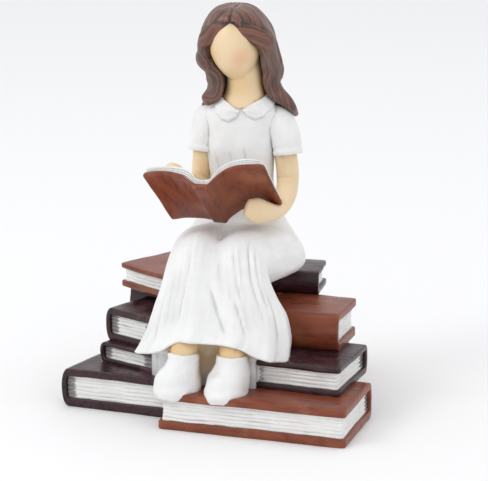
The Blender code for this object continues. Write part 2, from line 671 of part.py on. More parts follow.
def open_book():
    """Two boards that arch away from the spine, with a block of leaves on each."""
    tilt = math.radians(OPEN_BOOK_TILT)
    foot = Vector((-1.3, -8.5, SEAT_Z + 19.5))
    turn = Matrix.Rotation(math.radians(-0.5), 3, "Z")
    upward = turn @ Vector((0.0, -math.cos(tilt), math.sin(tilt)))
    reader = turn @ Vector((0.0, math.sin(tilt), math.cos(tilt)))
    across = upward.cross(reader)
    across = across if across.x > 0 else -across

    def at(u, along, lift):
        """u is -1 at the left edge and 1 at the right one. The right board lifts more than the left."""
        share = along / OPEN_BOOK_TALL
        # The reach of a board from the spine, how high it climbs, and how far its edge droops.
        reach, climb, droop = 17.4 - 0.4 * share, 7.4 + 1.4 * share, 0.2
        if u < 0:
            reach, climb, droop = 13.8 + 4.0 * share, 0.9 + 3.5 * share, 2.2 - 0.4 * share
        band = OPEN_SPINE_HALF / (OPEN_SPINE_HALF + reach)
        out = max(0.0, (abs(u) - band) / (1 - band))
        rise = climb * (1 - math.exp(-out * reach / 4.5)) - droop * out**2.5
        lateral = math.copysign(min(abs(u) / band, 1.0) * OPEN_SPINE_HALF + out * reach, u)
        return foot + across * lateral + upward * along + reader * (rise + lift)

    steps = 9
    shares = [0.11] + [0.13 + 0.87 * (k / (steps - 1)) ** 1.2 for k in range(steps)]
    places = sorted([side * share for side in (-1, 1) for share in shares])
    tall, thick = OPEN_BOOK_TALL, OPEN_BOARD_THICK
    rings = []
    for u in places:
        outer = -OPEN_SPINE_PROUD if abs(u) < 0.12 else 0.0
        # The corners of the boards are a little round.
        trim = 1.6 if abs(u) > 0.99 else 0.0
        sides = ((trim, outer), (tall - trim, outer), (tall - trim, thick), (trim, thick))
        rings.append([at(u, s, h) for s, h in sides])
    loft("open_cover", rings, "cover_tan")
    layers = 3
    rings = []
    for u in places:
        u *= 0.955
        leaves = OPEN_PAGES_THICK * (1 - 0.45 * abs(u) ** 2) * (0.5 + 0.5 * min(1.0, abs(u) * 4))
        profile = []
        for k in range(2 * layers + 1):
            inset = 0.7 + (0.35 if k % 2 else 0.0)
            profile.append((inset, thick - SINK + (leaves + SINK) * k / (2 * layers)))
        ring = [at(u, s, h) for s, h in profile] + [at(u, tall - s, h) for s, h in reversed(profile)]
        rings.append(ring)
    loft("open_pages", rings, "page_white")


def cast_in_one():
    """Joins every form into the one solid of the casting, and fills the pockets sealed inside it."""
    forms = bpy.data.collections["forms"]
    base = forms.objects["front_book_cover"]
    joined = bpy.data.objects.new("joined", base.data.copy())
    bpy.context.scene.collection.objects.link(joined)
    forms.objects.unlink(base)
    bpy.data.objects.remove(base)
    union = joined.modifiers.new("cast", "BOOLEAN")
    union.operation = "UNION"
    union.operand_type = "COLLECTION"
    union.collection = forms
    union.solver = "MANIFOLD"
    union.material_mode = "TRANSFER"
    graph = bpy.context.evaluated_depsgraph_get()
    mesh = bpy.data.meshes.new_from_object(joined.evaluated_get(graph))
    bpy.data.objects.remove(joined)
    made = bmesh.new()
    made.from_mesh(mesh)
    bmesh.ops.triangulate(made, faces=made.faces)
    shells = shells_of(made)
    outer = max(shells, key=len)
    inner = [face for shell in shells if shell is not outer for face in shell]
    bmesh.ops.delete(made, geom=inner, context="FACES")
    made.to_mesh(mesh)
    made.free()
    statue = bpy.data.objects.new("reading_girl_statue", mesh)
    bpy.context.scene.collection.objects.link(statue)


def shells_of(made):
    """The separate closed shells of a mesh, each as a list of its faces."""
    left, shells = set(made.faces), []
    while left:
        shell, reach = [], [left.pop()]
        while reach:
            face = reach.pop()
            shell.append(face)
            for edge in face.edges:
                for other in edge.link_faces:
                    if other in left:
                        left.discard(other)
                        reach.append(other)
        shells.append(shell)
    return shells


DRESS = dress_rows()


def main():
    clear_scene()
    forms = bpy.data.collections.new("forms")
    bpy.context.scene.collection.children.link(forms)
    pile()
    dress()
    collar()
    arms()
    legs()
    head()
    hair()
    front_locks()
    open_book()
    cast_in_one()


main()
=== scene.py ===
"""Finished look of the reading girl statue: the carved and painted casting, and the studio around it.

Sizes are in millimetres and MM turns them into metres. The front of the statue faces -Y and the
floor is Z = 0. Every form below is closed, and one union joins them into the single painted piece.
"""

import json
import math
from math import atan2, cos, pi, radians, sin, sqrt

import bmesh
import bpy
import numpy as np
from mathutils import Matrix, Vector, noise
from mathutils.bvhtree import BVHTree

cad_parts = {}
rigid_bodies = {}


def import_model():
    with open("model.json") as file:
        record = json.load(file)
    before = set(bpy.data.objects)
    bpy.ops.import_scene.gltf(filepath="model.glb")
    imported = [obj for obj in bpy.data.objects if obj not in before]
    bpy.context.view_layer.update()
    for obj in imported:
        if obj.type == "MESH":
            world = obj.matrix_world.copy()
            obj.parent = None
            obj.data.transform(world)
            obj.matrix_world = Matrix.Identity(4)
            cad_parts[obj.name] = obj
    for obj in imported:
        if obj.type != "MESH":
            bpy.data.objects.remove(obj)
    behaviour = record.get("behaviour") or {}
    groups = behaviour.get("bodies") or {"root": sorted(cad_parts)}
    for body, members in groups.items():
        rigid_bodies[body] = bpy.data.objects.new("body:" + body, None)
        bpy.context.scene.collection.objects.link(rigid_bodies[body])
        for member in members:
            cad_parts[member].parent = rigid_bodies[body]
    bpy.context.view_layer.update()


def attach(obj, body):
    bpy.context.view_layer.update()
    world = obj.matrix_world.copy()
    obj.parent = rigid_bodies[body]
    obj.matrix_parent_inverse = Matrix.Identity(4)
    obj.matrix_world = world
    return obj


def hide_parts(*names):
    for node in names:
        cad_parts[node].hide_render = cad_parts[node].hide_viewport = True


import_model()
# One fixed seed, so that the carved unevenness is the same in every run.
noise.seed_set(7)

MM = 0.001
PILE_MIDDLE = Vector((0.7, 0.0, 0.0))

# The pile of books.
FRONT_BOOK_THICK = 12.2
LEFT_BOOK_THICK = 13.1
BACK_BOOK_THICK = 12.0
RIGHT_SECOND_THICK = 9.5
RIGHT_THIRD_THICK = 12.3
RIGHT_TOP_THICK = 7.7
LEFT_SECOND_THICK = 6.7
LEFT_THIRD_THICK = 11.0
LEFT_TOP_THICK = 7.9
BACK_SECOND_THICK = 12.0
SINK = 0.4
BOARD_SHARE = 0.235
TOP_BOARD_SHARE = 0.2
SPINE_WALL = 1.7
SPINE_BULGE = 2.6
PAGE_RECESS = 0.9
CORNER_CUT = 1.6
LEFT_BOOK_SKEW = 11.0
SPINE_LINES = (12.9, 14.2)
BOARD_ROUND = 0.45
HINGE_DEPTH = 0.28
LEAF_PITCH = 1.3
LEAF_DEPTH = 0.42
# The four heights at which a leaf is drawn, as shares of it, and how deep the groove is there.
LEAF_STEPS = (0.0, 0.2, 0.5, 0.8)
LEAF_GROOVE = (1.0, 0.25, 0.0, 0.25)
SPINE_STEPS = 14

# Where the girl sits and how she is turned.
GIRL_X = 1.0
GIRL_Y = 8.0
GIRL_TURN = 5.5
SEAT_Z = FRONT_BOOK_THICK + RIGHT_SECOND_THICK + RIGHT_THIRD_THICK + RIGHT_TOP_THICK
FOOT_Z = FRONT_BOOK_THICK
HEAD_HEIGHT = 22.8
STATUE_HEIGHT = 130.0

# The open book.
OPEN_BOOK_TALL = 25.2
OPEN_BOOK_TILT = 39.0
OPEN_BOARD_THICK = 1.2
OPEN_PAGES_THICK = 2.7
OPEN_SPINE_PROUD = 0.75
OPEN_SPINE_HALF = 2.4

# The dress.
KNEE_ROW = 12 / 16
FOLD_DEPTH = 1.3
FOLDS = (
    (-1.15, 0.13, 1.0),
    (-0.75, 0.1, 0.8),
    (-0.18, 0.1, 0.9),
    (0.3, 0.1, 0.8),
    (0.85, 0.12, 1.0),
    (1.3, 0.12, 0.9),
)
HEM_RISE = 6.6
HEM_ARCH = 1.2
HEM_WALL = 1.6
WEB_RECESS = 5.0
WEB_SIDE_RECESS = 4.5
COLLAR_PROUD = 0.75
COLLAR_MIDDLE = 1.4
# The lower edge of each lobe of the collar, as places across the chest and heights.
COLLAR_RIGHT = ((1.4, 97.6), (0.6, 95.9), (-0.6, 94.0), (-2.8, 92.9), (-5.0, 93.4), (-6.6, 95.0))
COLLAR_RIGHT += ((-7.8, 98.0), (-9.0, 101.0))
COLLAR_LEFT = ((1.4, 97.6), (2.4, 96.2), (3.9, 94.7), (6.1, 93.9), (8.4, 94.6), (10.4, 96.6))
COLLAR_LEFT += ((12.0, 98.8), (13.4, 100.8))
NECK_RISE = 1.7
BOOT_HALF_WIDTH = 6.2
BOOT_OVERHANG = 2.1
ANKLE_AHEAD = 0.3

# The head and the hair.
HEAD_X = -1.0
HEAD_Y = -5.4
HEAD_Z = 116.6
HEAD_HALF_WIDTH = 8.3
HEAD_HALF_DEPTH = 8.8
HEAD_NOD = 12.0
HEAD_TILT = 5.0
HAIR_Y = -1.2
CAP_PROUD = 0.25
CAP_END = 0.16
PART_X = -1.5
CROWN_Y = 1.5
STRAND_SLANT = 0.45

# How finely each kind of form is meshed.
BODY_SIDES = 158
BODY_FINE_ROWS = 54
BODY_ROWS = 116
HAIR_ARC = 160
HAIR_ROWS = 104

# Rays from each point that find how sheltered it is, and how far they reach.
RAYS = 12
RAY_REACH = 7.0

# Paint: where painted shade gathers in the white round the ankles, with its reach, and the blushes of
# the skin and its spots of painted shade, with their reach and share.
NOISE_SHIFT = (5.37, 8.61, 3.46)
ANKLES = (((-6.4, -35.5, 25.4), 9.0), ((9.8, -34.5, 25.0), 9.0), ((2.2, -33.0, 22.0), 11.0))
BLUSHES = (((4.4, -5.5, 114.2), 5.2, 0.5), ((-5.4, -5.6, 115.8), 4.5, 0.22))
PAINTED_SHADE_SPOTS = (((-8.5, -3.0, 113.5), 6.5, 0.8), ((1.8, 0.0, 105.0), 8.0, 0.5), ((2.0, -4.5, 108.0), 5.0, 0.35))
PAINTED_SHADE_SPOTS += tuple((centre, 7.0, 0.75) for centre, _ in ANKLES[:2])

# Light: the strength of the surroundings, and each lamp's name, place, size in metres and power.
WORLD_LIGHT = 0.90
LAMPS = (
    ("key", (-0.5, -0.5, 0.7), 0.4, 1.9),
    ("fill", (0.7, -0.6, 0.5), 0.6, 0.3),
    ("top", (0.1, 0.3, 0.9), 0.5, 0.7),
)
FLOOR_HALF = 4.0

# The camera stands where the photograph was taken from.
PHOTO_WIDTH = 488
FOCAL_PIXELS = 2286.0
SENSOR_WIDTH = 36.0
CAMERA_PITCH = 14.6
CAMERA_TURN = 18.0
CAMERA_DISTANCE = 0.75
CAMERA_TARGET = Vector((3.7, -0.9, 53.3)) * MM


def hand(point, amount=0.2, size=9.0):
    """The small unevenness of a shape that was carved by hand."""
    return point + noise.noise_vector(point / size) * amount


def smooth(low, high, value):
    x = min(max((value - low) / (high - low), 0.0), 1.0)
    return x * x * (3 - 2 * x)


def curve_value(rows, t):
    """Reads a table of rows as a smooth curve: t runs from 0 at the first row to 1 at the last."""
    place = min(max(t, 0.0), 1.0) * (len(rows) - 1)
    i = min(int(place), len(rows) - 2)
    f = place - i
    a, b, c, d = (rows[min(max(k, 0), len(rows) - 1)] for k in (i - 1, i, i + 1, i + 2))
    return [
        0.5 * (2 * q + (r - p) * f + (2 * p - 5 * q + 4 * r - s) * f * f + (3 * q - p - 3 * r + s) * f**3)
        for p, q, r, s in zip(a, b, c, d)
    ]


def turns(count):
    """Even angles round a ring."""
    return [2 * pi * k / count for k in range(count)]


def power(value, exponent):
    return math.copysign(abs(value) ** exponent, value)


def bump(distance, width):
    return math.exp(-((distance / width) ** 2))


GIRL = Matrix.Translation((GIRL_X, GIRL_Y, 0.0)) @ Matrix.Rotation(radians(GIRL_TURN), 4, "Z")

# The materials, in the order of the painted piece's slots.
SLOTS = ("dress_white", "skin", "hair_brown", "cover_tan", "cover_plum", "page_white")


def add_form(name, points, faces, colour, corner_flows):
    """A closed mesh in the forms collection. A flow is the direction that brush strokes follow."""
    mesh = bpy.data.meshes.new(name)
    mesh.from_pydata([(Vector(p) - PILE_MIDDLE) * MM for p in points], [], faces)
    for slot in SLOTS:
        mesh.materials.append(bpy.data.materials[slot])
    mesh.polygons.foreach_set("material_index", [SLOTS.index(colour)] * len(mesh.polygons))
    flow = mesh.attributes.new("flow", "FLOAT_VECTOR", "CORNER")
    flow.data.foreach_set("vector", [x for face in corner_flows for value in face for x in value])
    made = bmesh.new()
    made.from_mesh(mesh)
    bmesh.ops.recalc_face_normals(made, faces=made.faces)
    made.to_mesh(mesh)
    made.free()
    obj = bpy.data.objects.new(name, mesh)
    bpy.data.collections["forms"].objects.link(obj)


def loft(name, rings, colour, tip_start=None, tip_end=None, flows=None, cap=None):
    """Joins rings of equal length with quads. Flows have one value more in a ring than it has points
    where they run on round the ring. A cap lists the faces that close an end, by their points."""
    count = len(rings[0])
    points = [p for ring in rings for p in ring]
    faces, corner = [], []

    def value(row, i):
        if flows is None:
            return rings[row][i % count]
        return flows[row][i if len(flows[row]) > count else i % count]

    for row in range(len(rings) - 1):
        for i in range(count):
            j = (i + 1) % count
            low, high = row * count, (row + 1) * count
            faces.append((low + i, low + j, high + j, high + i))
            corner.append((value(row, i), value(row, i + 1), value(row + 1, i + 1), value(row + 1, i)))
    for tip, row in ((tip_start, 0), (tip_end, len(rings) - 1)):
        first = row * count
        if tip is None:
            for part in cap or [tuple(range(count))]:
                faces.append(tuple(first + i for i in part))
                corner.append(tuple(value(row, i) for i in part))
            continue
        points.append(tip)
        for i in range(count):
            faces.append((first + i, first + (i + 1) % count, len(points) - 1))
            corner.append((value(row, i), value(row, i + 1), value(row, i)))
    add_form(name, points, faces, colour, corner)


# The pile.


def spread(low, high, step):
    """Even places from low to high, about step apart."""
    count = max(1, round((high - low) / step))
    return [low + (high - low) * k / count for k in range(count + 1)]


def book(name, corner, turn, size, base, spine, colour, skew, lines):
    """One closed book, as in the solid, with rounded boards, hinges and leaves."""
    length, depth, thick = size
    along = Vector((cos(radians(turn)), -sin(radians(turn)), 0.0))
    back = Vector((-along.y, along.x, 0.0))
    starts = {
        "left": (along, length, depth, Vector((0, 0, 0))),
        "right": (-along, length, depth, along * length + back * depth),
        "front": (back, depth, length, along * length),
        "back": (-back, depth, length, back * depth),
    }
    across, width, tall, offset = starts[spine]
    upward = Vector((0, 0, 1))
    lengthwise = upward.cross(across)
    origin = Vector((corner[0], corner[1], base)) + offset + across * SPINE_BULGE
    board, top_board = thick * BOARD_SHARE, thick * TOP_BOARD_SHARE
    edge = width - SPINE_BULGE
    slope = math.tan(radians(skew))
    columns = max(4, round(edge / 3.2))

    def place(x, y, z, amount=0.24):
        cut = slope * x * (1 - smooth(0, tall, y))
        plain = origin + across * x + lengthwise * (y + cut) + upward * z
        moved = hand(hand(plain, amount, 8.0), amount * 0.35, 2.6)
        if base == 0.0:
            moved.z = plain.z + (moved.z - plain.z) * smooth(0.0, 2.0, plain.z)
        return moved

    def arc(bulge, low, high):
        middle, half = (low + high) / 2, (high - low) / 2
        angles = [pi * (k / SPINE_STEPS - 0.5) for k in range(SPINE_STEPS + 1)]
        return [(-bulge * power(cos(a), 0.75), middle + half * sin(a)) for a in angles]

    def hinge(x):
        return HINGE_DEPTH * bump(x - 2.6, 0.9)

    def profile(reach, inset, y):
        """The outline of the cover across the spine, and the walls drawn in by inset."""
        groove = 0.16 * sum(bump(y - line, 0.35) for line in lines)
        tip = BOARD_ROUND
        xs = [0.6 + (reach - tip - 0.6) * k / columns for k in range(columns + 1)]
        outer = [(x, inset + hinge(x)) for x in reversed(xs)]
        outer += arc(SPINE_BULGE - inset - groove, inset, thick - inset)
        outer += [(x, thick - inset - hinge(x)) for x in xs]
        inner = [(x, board - inset) for x in reversed(xs)]
        inner += arc(SPINE_BULGE - SPINE_WALL + inset, board - inset, thick - top_board + inset)
        inner += [(x, thick - top_board + inset) for x in xs]

        def rounded(z, up, angles):
            return [(reach - tip + tip * sin(a), z - up * tip + up * tip * cos(a)) for a in angles]

        end = [*rounded(thick - inset, 1, (0.5, 1.05, pi / 2)), (reach, thick - top_board / 2)]
        end += rounded(thick - top_board + inset, -1, (1.05, 0.5))
        start = [*rounded(board - inset, 1, (0.5, 1.05)), (reach, board / 2)]
        start += rounded(inset, -1, (pi / 2, 1.05, 0.5))
        return [*outer, *end, *reversed(inner), *start]

    ends = [(BOARD_ROUND * (1 - cos(a)), BOARD_ROUND * (1 - sin(a))) for a in (0, 0.5, 1.0)]
    places = ends + [(y, 0.0) for y in (BOARD_ROUND, 0.8, 1.2)]
    places += [(y, 0.0) for y in spread(CORNER_CUT, tall - CORNER_CUT, 2.4)]
    places += [(tall - y, inset) for y, inset in reversed(places[:6])]
    rings, flows = [], []
    for y, inset in places:
        near = min(y, tall - y)
        trim = CORNER_CUT - sqrt(max(0.0, CORNER_CUT**2 - max(0.0, CORNER_CUT - near) ** 2))
        outline = profile(edge - 0.8 * trim, inset, y)
        rings.append([place(x, y, z) for x, z in outline])
        flows.append([(x, y, z) for x, z in outline])
    walls = 2 * columns + 2 + SPINE_STEPS + 1
    inner = walls + 6 + walls - 1
    cap = [(i, i + 1, inner - i - 1, inner - i) for i in range(walls - 1)]
    cap.append(tuple(range(walls - 1, walls + 7)))
    cap.append((*range(inner, inner + 7), 0))
    loft(f"{name}_cover", rings, colour, flows=flows, cap=cap)

    low, high = board - SINK, thick - top_board + SINK
    count = max(2, round((high - low) / LEAF_PITCH))
    pitch = (high - low) / count
    start, end = -SPINE_BULGE + SPINE_WALL / 2, edge - PAGE_RECESS
    near, far = PAGE_RECESS, tall - PAGE_RECESS
    # Each point of the page block's outline, and the way that faces out there.
    outline = [(x, near, 0, -1) for x in spread(start, end - 1.0, 2.2)]
    outline.append((end - 0.3, near + 0.3, 0.7, -0.7))
    outline += [(end, y, 1, 0) for y in spread(near + 1.0, far - 1.0, 2.2)]
    outline.append((end - 0.3, far - 0.3, 0.7, 0.7))
    outline += [(x, far, 0, 1) for x in reversed(spread(start, end - 1.0, 2.2))]
    levels, flows = [], []
    for k in range(4 * count + 1):
        leaf, phase = divmod(k, 4)
        z = low + pitch * (leaf + LEAF_STEPS[phase])
        groove = LEAF_GROOVE[phase]
        hollow = 0.35 * (1 - (2 * (z - low) / (high - low) - 1) ** 2)
        ring = []
        for x, y, out_x, out_y in outline:
            fade = 0.75 + 0.8 * noise.noise(Vector((x, y, 3.1 * leaf)) * 0.16)
            draw = LEAF_DEPTH * groove * min(1.3, max(0.15, fade)) + hollow
            wave = 0.26 * noise.noise(Vector((x * 0.12, y * 0.12, 0.6 * z)))
            ring.append(place(x - out_x * draw, y - out_y * draw, z + wave, 0.14))
        levels.append(ring)
        flows.append([(x, y, z) for x, y, _, _ in outline])
    loft(f"{name}_pages", levels, "page_white", flows=flows)


def pile():
    right_second = FRONT_BOOK_THICK - SINK
    right_third = FRONT_BOOK_THICK + RIGHT_SECOND_THICK - SINK
    right_top = right_third + RIGHT_THIRD_THICK
    left_second = LEFT_BOOK_THICK - SINK
    left_third = LEFT_BOOK_THICK + LEFT_SECOND_THICK - SINK
    left_top = SEAT_Z - LEFT_TOP_THICK
    back_second = BACK_BOOK_THICK - SINK
    back_third = back_second + BACK_SECOND_THICK
    second, third = RIGHT_SECOND_THICK, RIGHT_THIRD_THICK
    low_left, mid_left = LEFT_SECOND_THICK + SINK, LEFT_THIRD_THICK + SINK
    high_left = left_top - left_third + SINK
    mid_back, high_back = BACK_SECOND_THICK + SINK, right_top + 2 * SINK - back_third
    # Each book's name, corner, turn in degrees, size, base, the side its spine is on, and its colour.
    rows = (
        ("front", (-11.4, -41.9), 0.0, (62.1, 32.6, FRONT_BOOK_THICK), 0.0, "back", "tan"),
        ("left", (-49.2, -29.4), 13.3, (46.0, 60.0, LEFT_BOOK_THICK), 0.0, "left", "plum"),
        ("back", (-7.0, -8.5), -6.0, (41.0, 47.0, BACK_BOOK_THICK), 0.0, "right", "tan"),
        ("right_second", (2.8, -26.8), 3.0, (42.3, 29.6, second + SINK), right_second, "back", "plum"),
        ("right_third", (-7.6, -12.2), 0.7, (47.4, 22.5, third + SINK), right_third, "front", "tan"),
        ("right_top", (1.3, 5.6), -6.5, (26.0, 17.0, RIGHT_TOP_THICK + SINK), right_top, "front", "plum"),
        ("left_second", (-40.3, -18.4), 20.9, (28.5, 46.0, low_left), left_second, "left", "plum"),
        ("left_third", (-39.0, -15.6), 20.9, (42.0, 38.0, mid_left), left_third, "left", "plum"),
        ("left_fourth", (-38.0, 4.0), 20.0, (34.0, 27.0, high_left), left_third, "front", "plum"),
        ("left_top", (-39.8, 0.2), 28.7, (36.0, 34.0, LEFT_TOP_THICK), left_top, "back", "tan"),
        ("back_second", (-16.0, 9.0), -3.0, (40.0, 28.0, mid_back), back_second, "back", "plum"),
        ("back_third", (-14.0, 8.0), 4.0, (29.0, 23.0, high_back), back_third, "back", "tan"),
    )
    for name, corner, turn, size, base, spine, colour in rows:
        skew = LEFT_BOOK_SKEW if name == "left" else 0.0
        lines = SPINE_LINES if name == "right_third" else ()
        book(f"{name}_book", corner, turn, size, base, spine, f"cover_{colour}", skew, lines)


# The dress.


# How the drop from seat to feet compares with the one that the rows below were measured on.
DROP = (SEAT_Z - FOOT_Z) / 29.5
# Rows down the dress: x, y, z, lean in degrees, half width, and the reach to the front and the back.
DRESS = (
    (1.0, -2.6, SEAT_Z + 57.9, -14, 7.2, 6.2, 6.0),
    (0.8, -1.9, SEAT_Z + 56.2, -8, 9.8, 7.4, 6.8),
    (0.2, -0.9, SEAT_Z + 52.6, 2, 12.6, 8.0, 7.0),
    (-0.2, -0.6, SEAT_Z + 46.0, 4, 11.6, 8.4, 7.2),
    (-0.4, -0.8, SEAT_Z + 41.0, 2, 11.3, 8.6, 7.2),
    (-0.4, -0.5, SEAT_Z + 35.5, 2, 10.9, 7.4, 7.0),
    (-0.2, 0.0, SEAT_Z + 29.0, 5, 10.6, 7.2, 7.2),
    (0.0, 0.0, SEAT_Z + 21.5, 15, 12.6, 7.8, 9.0),
    (0.4, -0.5, SEAT_Z + 13.5, 35, 17.0, 9.0, 12.0),
    (0.8, -4.0, SEAT_Z + 6.6, 62, 21.2, 12.6, 10.0),
    (0.0, -12.0, SEAT_Z + 5.8, 84, 21.0, 13.0, 7.2),
    (-0.8, -21.0, SEAT_Z + 6.2, 90, 18.6, 13.0, 7.6),
    (-1.4, -28.8, SEAT_Z + 7.0, 70, 16.4, 13.0, 9.5),
    (-0.8, -32.2, SEAT_Z + 1.0 * DROP, 36, 18.4, 10.8, 10.0),
    (-0.2, -32.6, SEAT_Z - 6.0 * DROP, 12, 21.6, 10.6, 11.0),
    (-0.6, -32.8, SEAT_Z - 13.4 * DROP, 2, 23.7, 11.4, 12.0),
    (-2.3, -33.4, SEAT_Z - 19.6 * DROP, 0, 25.0, 12.4, 13.0),
)

# Creases of the cloth: where each starts and ends as t and angle, its width in radians and its depth.
CREASES = (
    (0.735, 0.02, 0.86, 0.16, 0.04, 0.9),
    (0.80, -0.10, 0.97, 0.20, 0.035, 0.8),
    (0.755, 0.36, 0.86, 0.44, 0.03, 0.9),
    (0.84, 0.30, 0.95, 0.44, 0.03, 0.8),
    (0.79, 0.24, 0.86, 0.27, 0.025, 0.6),
    (0.74, -0.40, 0.93, -0.52, 0.035, 0.7),
    (0.76, -0.58, 0.95, -0.60, 0.03, 0.7),
    (0.77, -0.72, 0.97, -0.72, 0.03, 0.8),
    (0.80, -0.90, 0.97, -0.88, 0.035, 0.7),
    (0.86, -1.10, 0.99, -1.06, 0.03, 0.6),
    (0.72, 0.66, 0.93, 0.80, 0.035, 0.8),
    (0.74, 0.86, 0.88, 0.92, 0.03, 0.6),
    (0.80, 1.08, 0.97, 1.02, 0.035, 0.7),
    (0.57, 1.02, 0.71, 0.98, 0.09, 0.5),
    (0.59, 1.28, 0.73, 1.18, 0.08, 0.4),
    (0.64, -0.05, 0.75, 0.02, 0.05, 0.8),
    (0.22, 0.20, 0.36, 0.32, 0.035, 0.5),
    (0.25, -0.12, 0.34, -0.05, 0.035, 0.4),
    (0.24, -0.60, 0.42, -0.50, 0.04, 0.45),
    (0.30, -0.42, 0.42, -0.30, 0.03, 0.35),
    (0.28, 0.50, 0.42, 0.62, 0.04, 0.4),
    (0.33, 0.05, 0.42, 0.12, 0.03, 0.3),
)


def crease_relief(t, angle):
    out = 0.32 * smooth(0.66, 0.8, t) * noise.noise(Vector((angle * 11.0, t * 9.0, 0.0)))
    out += 0.16 * smooth(0.7, 0.8, t) * noise.noise(Vector((angle * 30.0, t * 14.0, 5.0)))
    out += 0.14 * noise.noise(Vector((angle * 6.0, t * 20.0, 9.0)))
    for t0, a0, t1, a1, width, depth in CREASES:
        if t < t0 - 0.02 or t > t1 + 0.02:
            continue
        share = (t - t0) / (t1 - t0)
        middle = a0 + (a1 - a0) * share
        fade = smooth(0.0, 0.25, share) * smooth(1.0, 0.7, share)
        out -= depth * fade * bump(angle - middle, width)
        out += 0.35 * depth * fade * bump(angle - middle - 1.7 * width, width)
    return out


def dress_relief(t, angle):
    fall = min(max((t - KNEE_ROW) / (1 - KNEE_ROW), 0.0), 1.0)
    lap = bump(t - KNEE_ROW, 0.13)
    out = -3.6 * lap * bump(angle, 0.24)
    for place, width, size in FOLDS:
        out += FOLD_DEPTH * size * fall * bump(angle - place, width)
    return out


def collar_edge(x):
    """The height of the collar's lower edge at a place across the chest, in the girl's frame."""
    places = COLLAR_RIGHT if x < COLLAR_MIDDLE else COLLAR_LEFT
    for (x0, z0), (x1, z1) in zip(places, places[1:]):
        if min(x0, x1) <= x <= max(x0, x1):
            return z0 + (z1 - z0) * smooth(x0, x1, x) if x1 > x0 else z1 + (z0 - z1) * smooth(x1, x0, x)
    return places[-1][1]


def collar_relief(t, angle, p):
    """The two lobes of the collar: they meet at the throat and run round to the back."""
    if abs(angle) > 1.75:
        low = 0.075 - t
        edge = low * 60.0
    else:
        edge = p.z - collar_edge(p.x)
    gap = smooth(0.05, 0.4, abs(p.x - COLLAR_MIDDLE)) if abs(angle) < 0.5 else 1.0
    inside = smooth(-0.15, 0.4, edge)
    rim = bump(edge - 0.55, 0.35)
    seat = bump(edge + 0.45, 0.35)
    return gap * (COLLAR_PROUD * inside + 0.14 * rim) - 0.18 * seat


def dress_point(t, angle, out=0.0, fine=False):
    x, y, z, lean, half, front, back = curve_value(DRESS, t)
    lean = radians(lean)
    forward = Vector((0.0, -cos(lean), sin(lean)))
    side, ahead = power(sin(angle), 0.88), power(cos(angle), 0.88)
    out += dress_relief(t, angle)
    if fine:
        out += crease_relief(t, angle)
        if t < 0.25:
            out += collar_relief(t, angle, dress_point(t, angle, 0.6))
    reach = (front if ahead > 0 else back) + out
    rise = NECK_RISE * (1 - bump(angle, 0.6)) * max(0.0, 1 - 10 * t)
    if fine:
        rise -= 0.9 * bump(angle, 0.3) * max(0.0, 1 - 16 * t)
    return Vector((x + side * (half + out), y, z + rise)) + forward * (ahead * reach)


def hem_lift(angle):
    return HEM_RISE * bump(angle, 0.66) + HEM_ARCH * (bump(angle - 0.36, 0.2) + bump(angle + 0.3, 0.2))


def web_recess(angle):
    return WEB_RECESS * bump(angle, 0.5) + WEB_SIDE_RECESS * bump(abs(angle) - 1.05, 0.5)


def dress():
    # The points stand closer together at the front, where the finest creases are.
    angles = [a - 0.35 * sin(a) for a in turns(BODY_SIDES)]
    angles = [a if a <= pi else a - 2 * pi for a in angles]
    places = [0.2 * k / BODY_FINE_ROWS for k in range(BODY_FINE_ROWS)]
    places += [0.2 + 0.8 * k / (BODY_ROWS - 1) for k in range(BODY_ROWS)]
    rings = []
    for inward, down in ((2.2, 2.0), (1.3, 1.6), (0.9, 0.5), (0.45, 0.08)):
        ring = [dress_point(0.0, a, -inward, True) - Vector((0, 0, down)) for a in angles]
        rings.append([GIRL @ p for p in ring])
    for t in places:
        late = max(0.0, (t - 0.8) / 0.2) ** 2
        ring = [dress_point(t, a, fine=True) + Vector((0, 0, hem_lift(a) * late)) for a in angles]
        rings.append([hand(GIRL @ p, 0.22, 7.0) for p in ring])
    # The rim of the hem is round, and turns in to the filled space behind the legs.
    rolls = ((0.1, -0.35), (0.5, -0.65), (1.0, -0.6))
    rolls += ((HEM_WALL, -0.2), (HEM_WALL + 0.5, 0.5), (HEM_WALL + 0.9, 1.2))
    for inward, up in rolls:
        ring = [dress_point(1.0, a, -inward) + Vector((0, 0, hem_lift(a) + up)) for a in angles]
        rings.append([hand(GIRL @ p, 0.22, 7.0) for p in ring])
    last = [dress_point(1.0, a, -HEM_WALL - 0.9) + Vector((0, 0, hem_lift(a) + 1.2)) for a in angles]
    deep = [dress_point(1.0, a, -HEM_WALL - 1.6 - web_recess(a)) for a in angles]
    for share in (0.35, 0.7, 0.9, 1.0):
        ring = []
        for a, p, q in zip(angles, last, deep):
            level, inward = p.z + (FOOT_Z + 9.0 - p.z) * share, share**0.6
            ring.append(GIRL @ Vector((p.x + (q.x - p.x) * inward, p.y + (q.y - p.y) * inward, level)))
        rings.append(ring)
    for level in (FOOT_Z + 6.0, FOOT_Z + 3.0, FOOT_Z - 2.0):
        rings.append([GIRL @ Vector((q.x, q.y, level)) for q in deep])
    loft("dress", rings, "dress_white")


# Limbs.


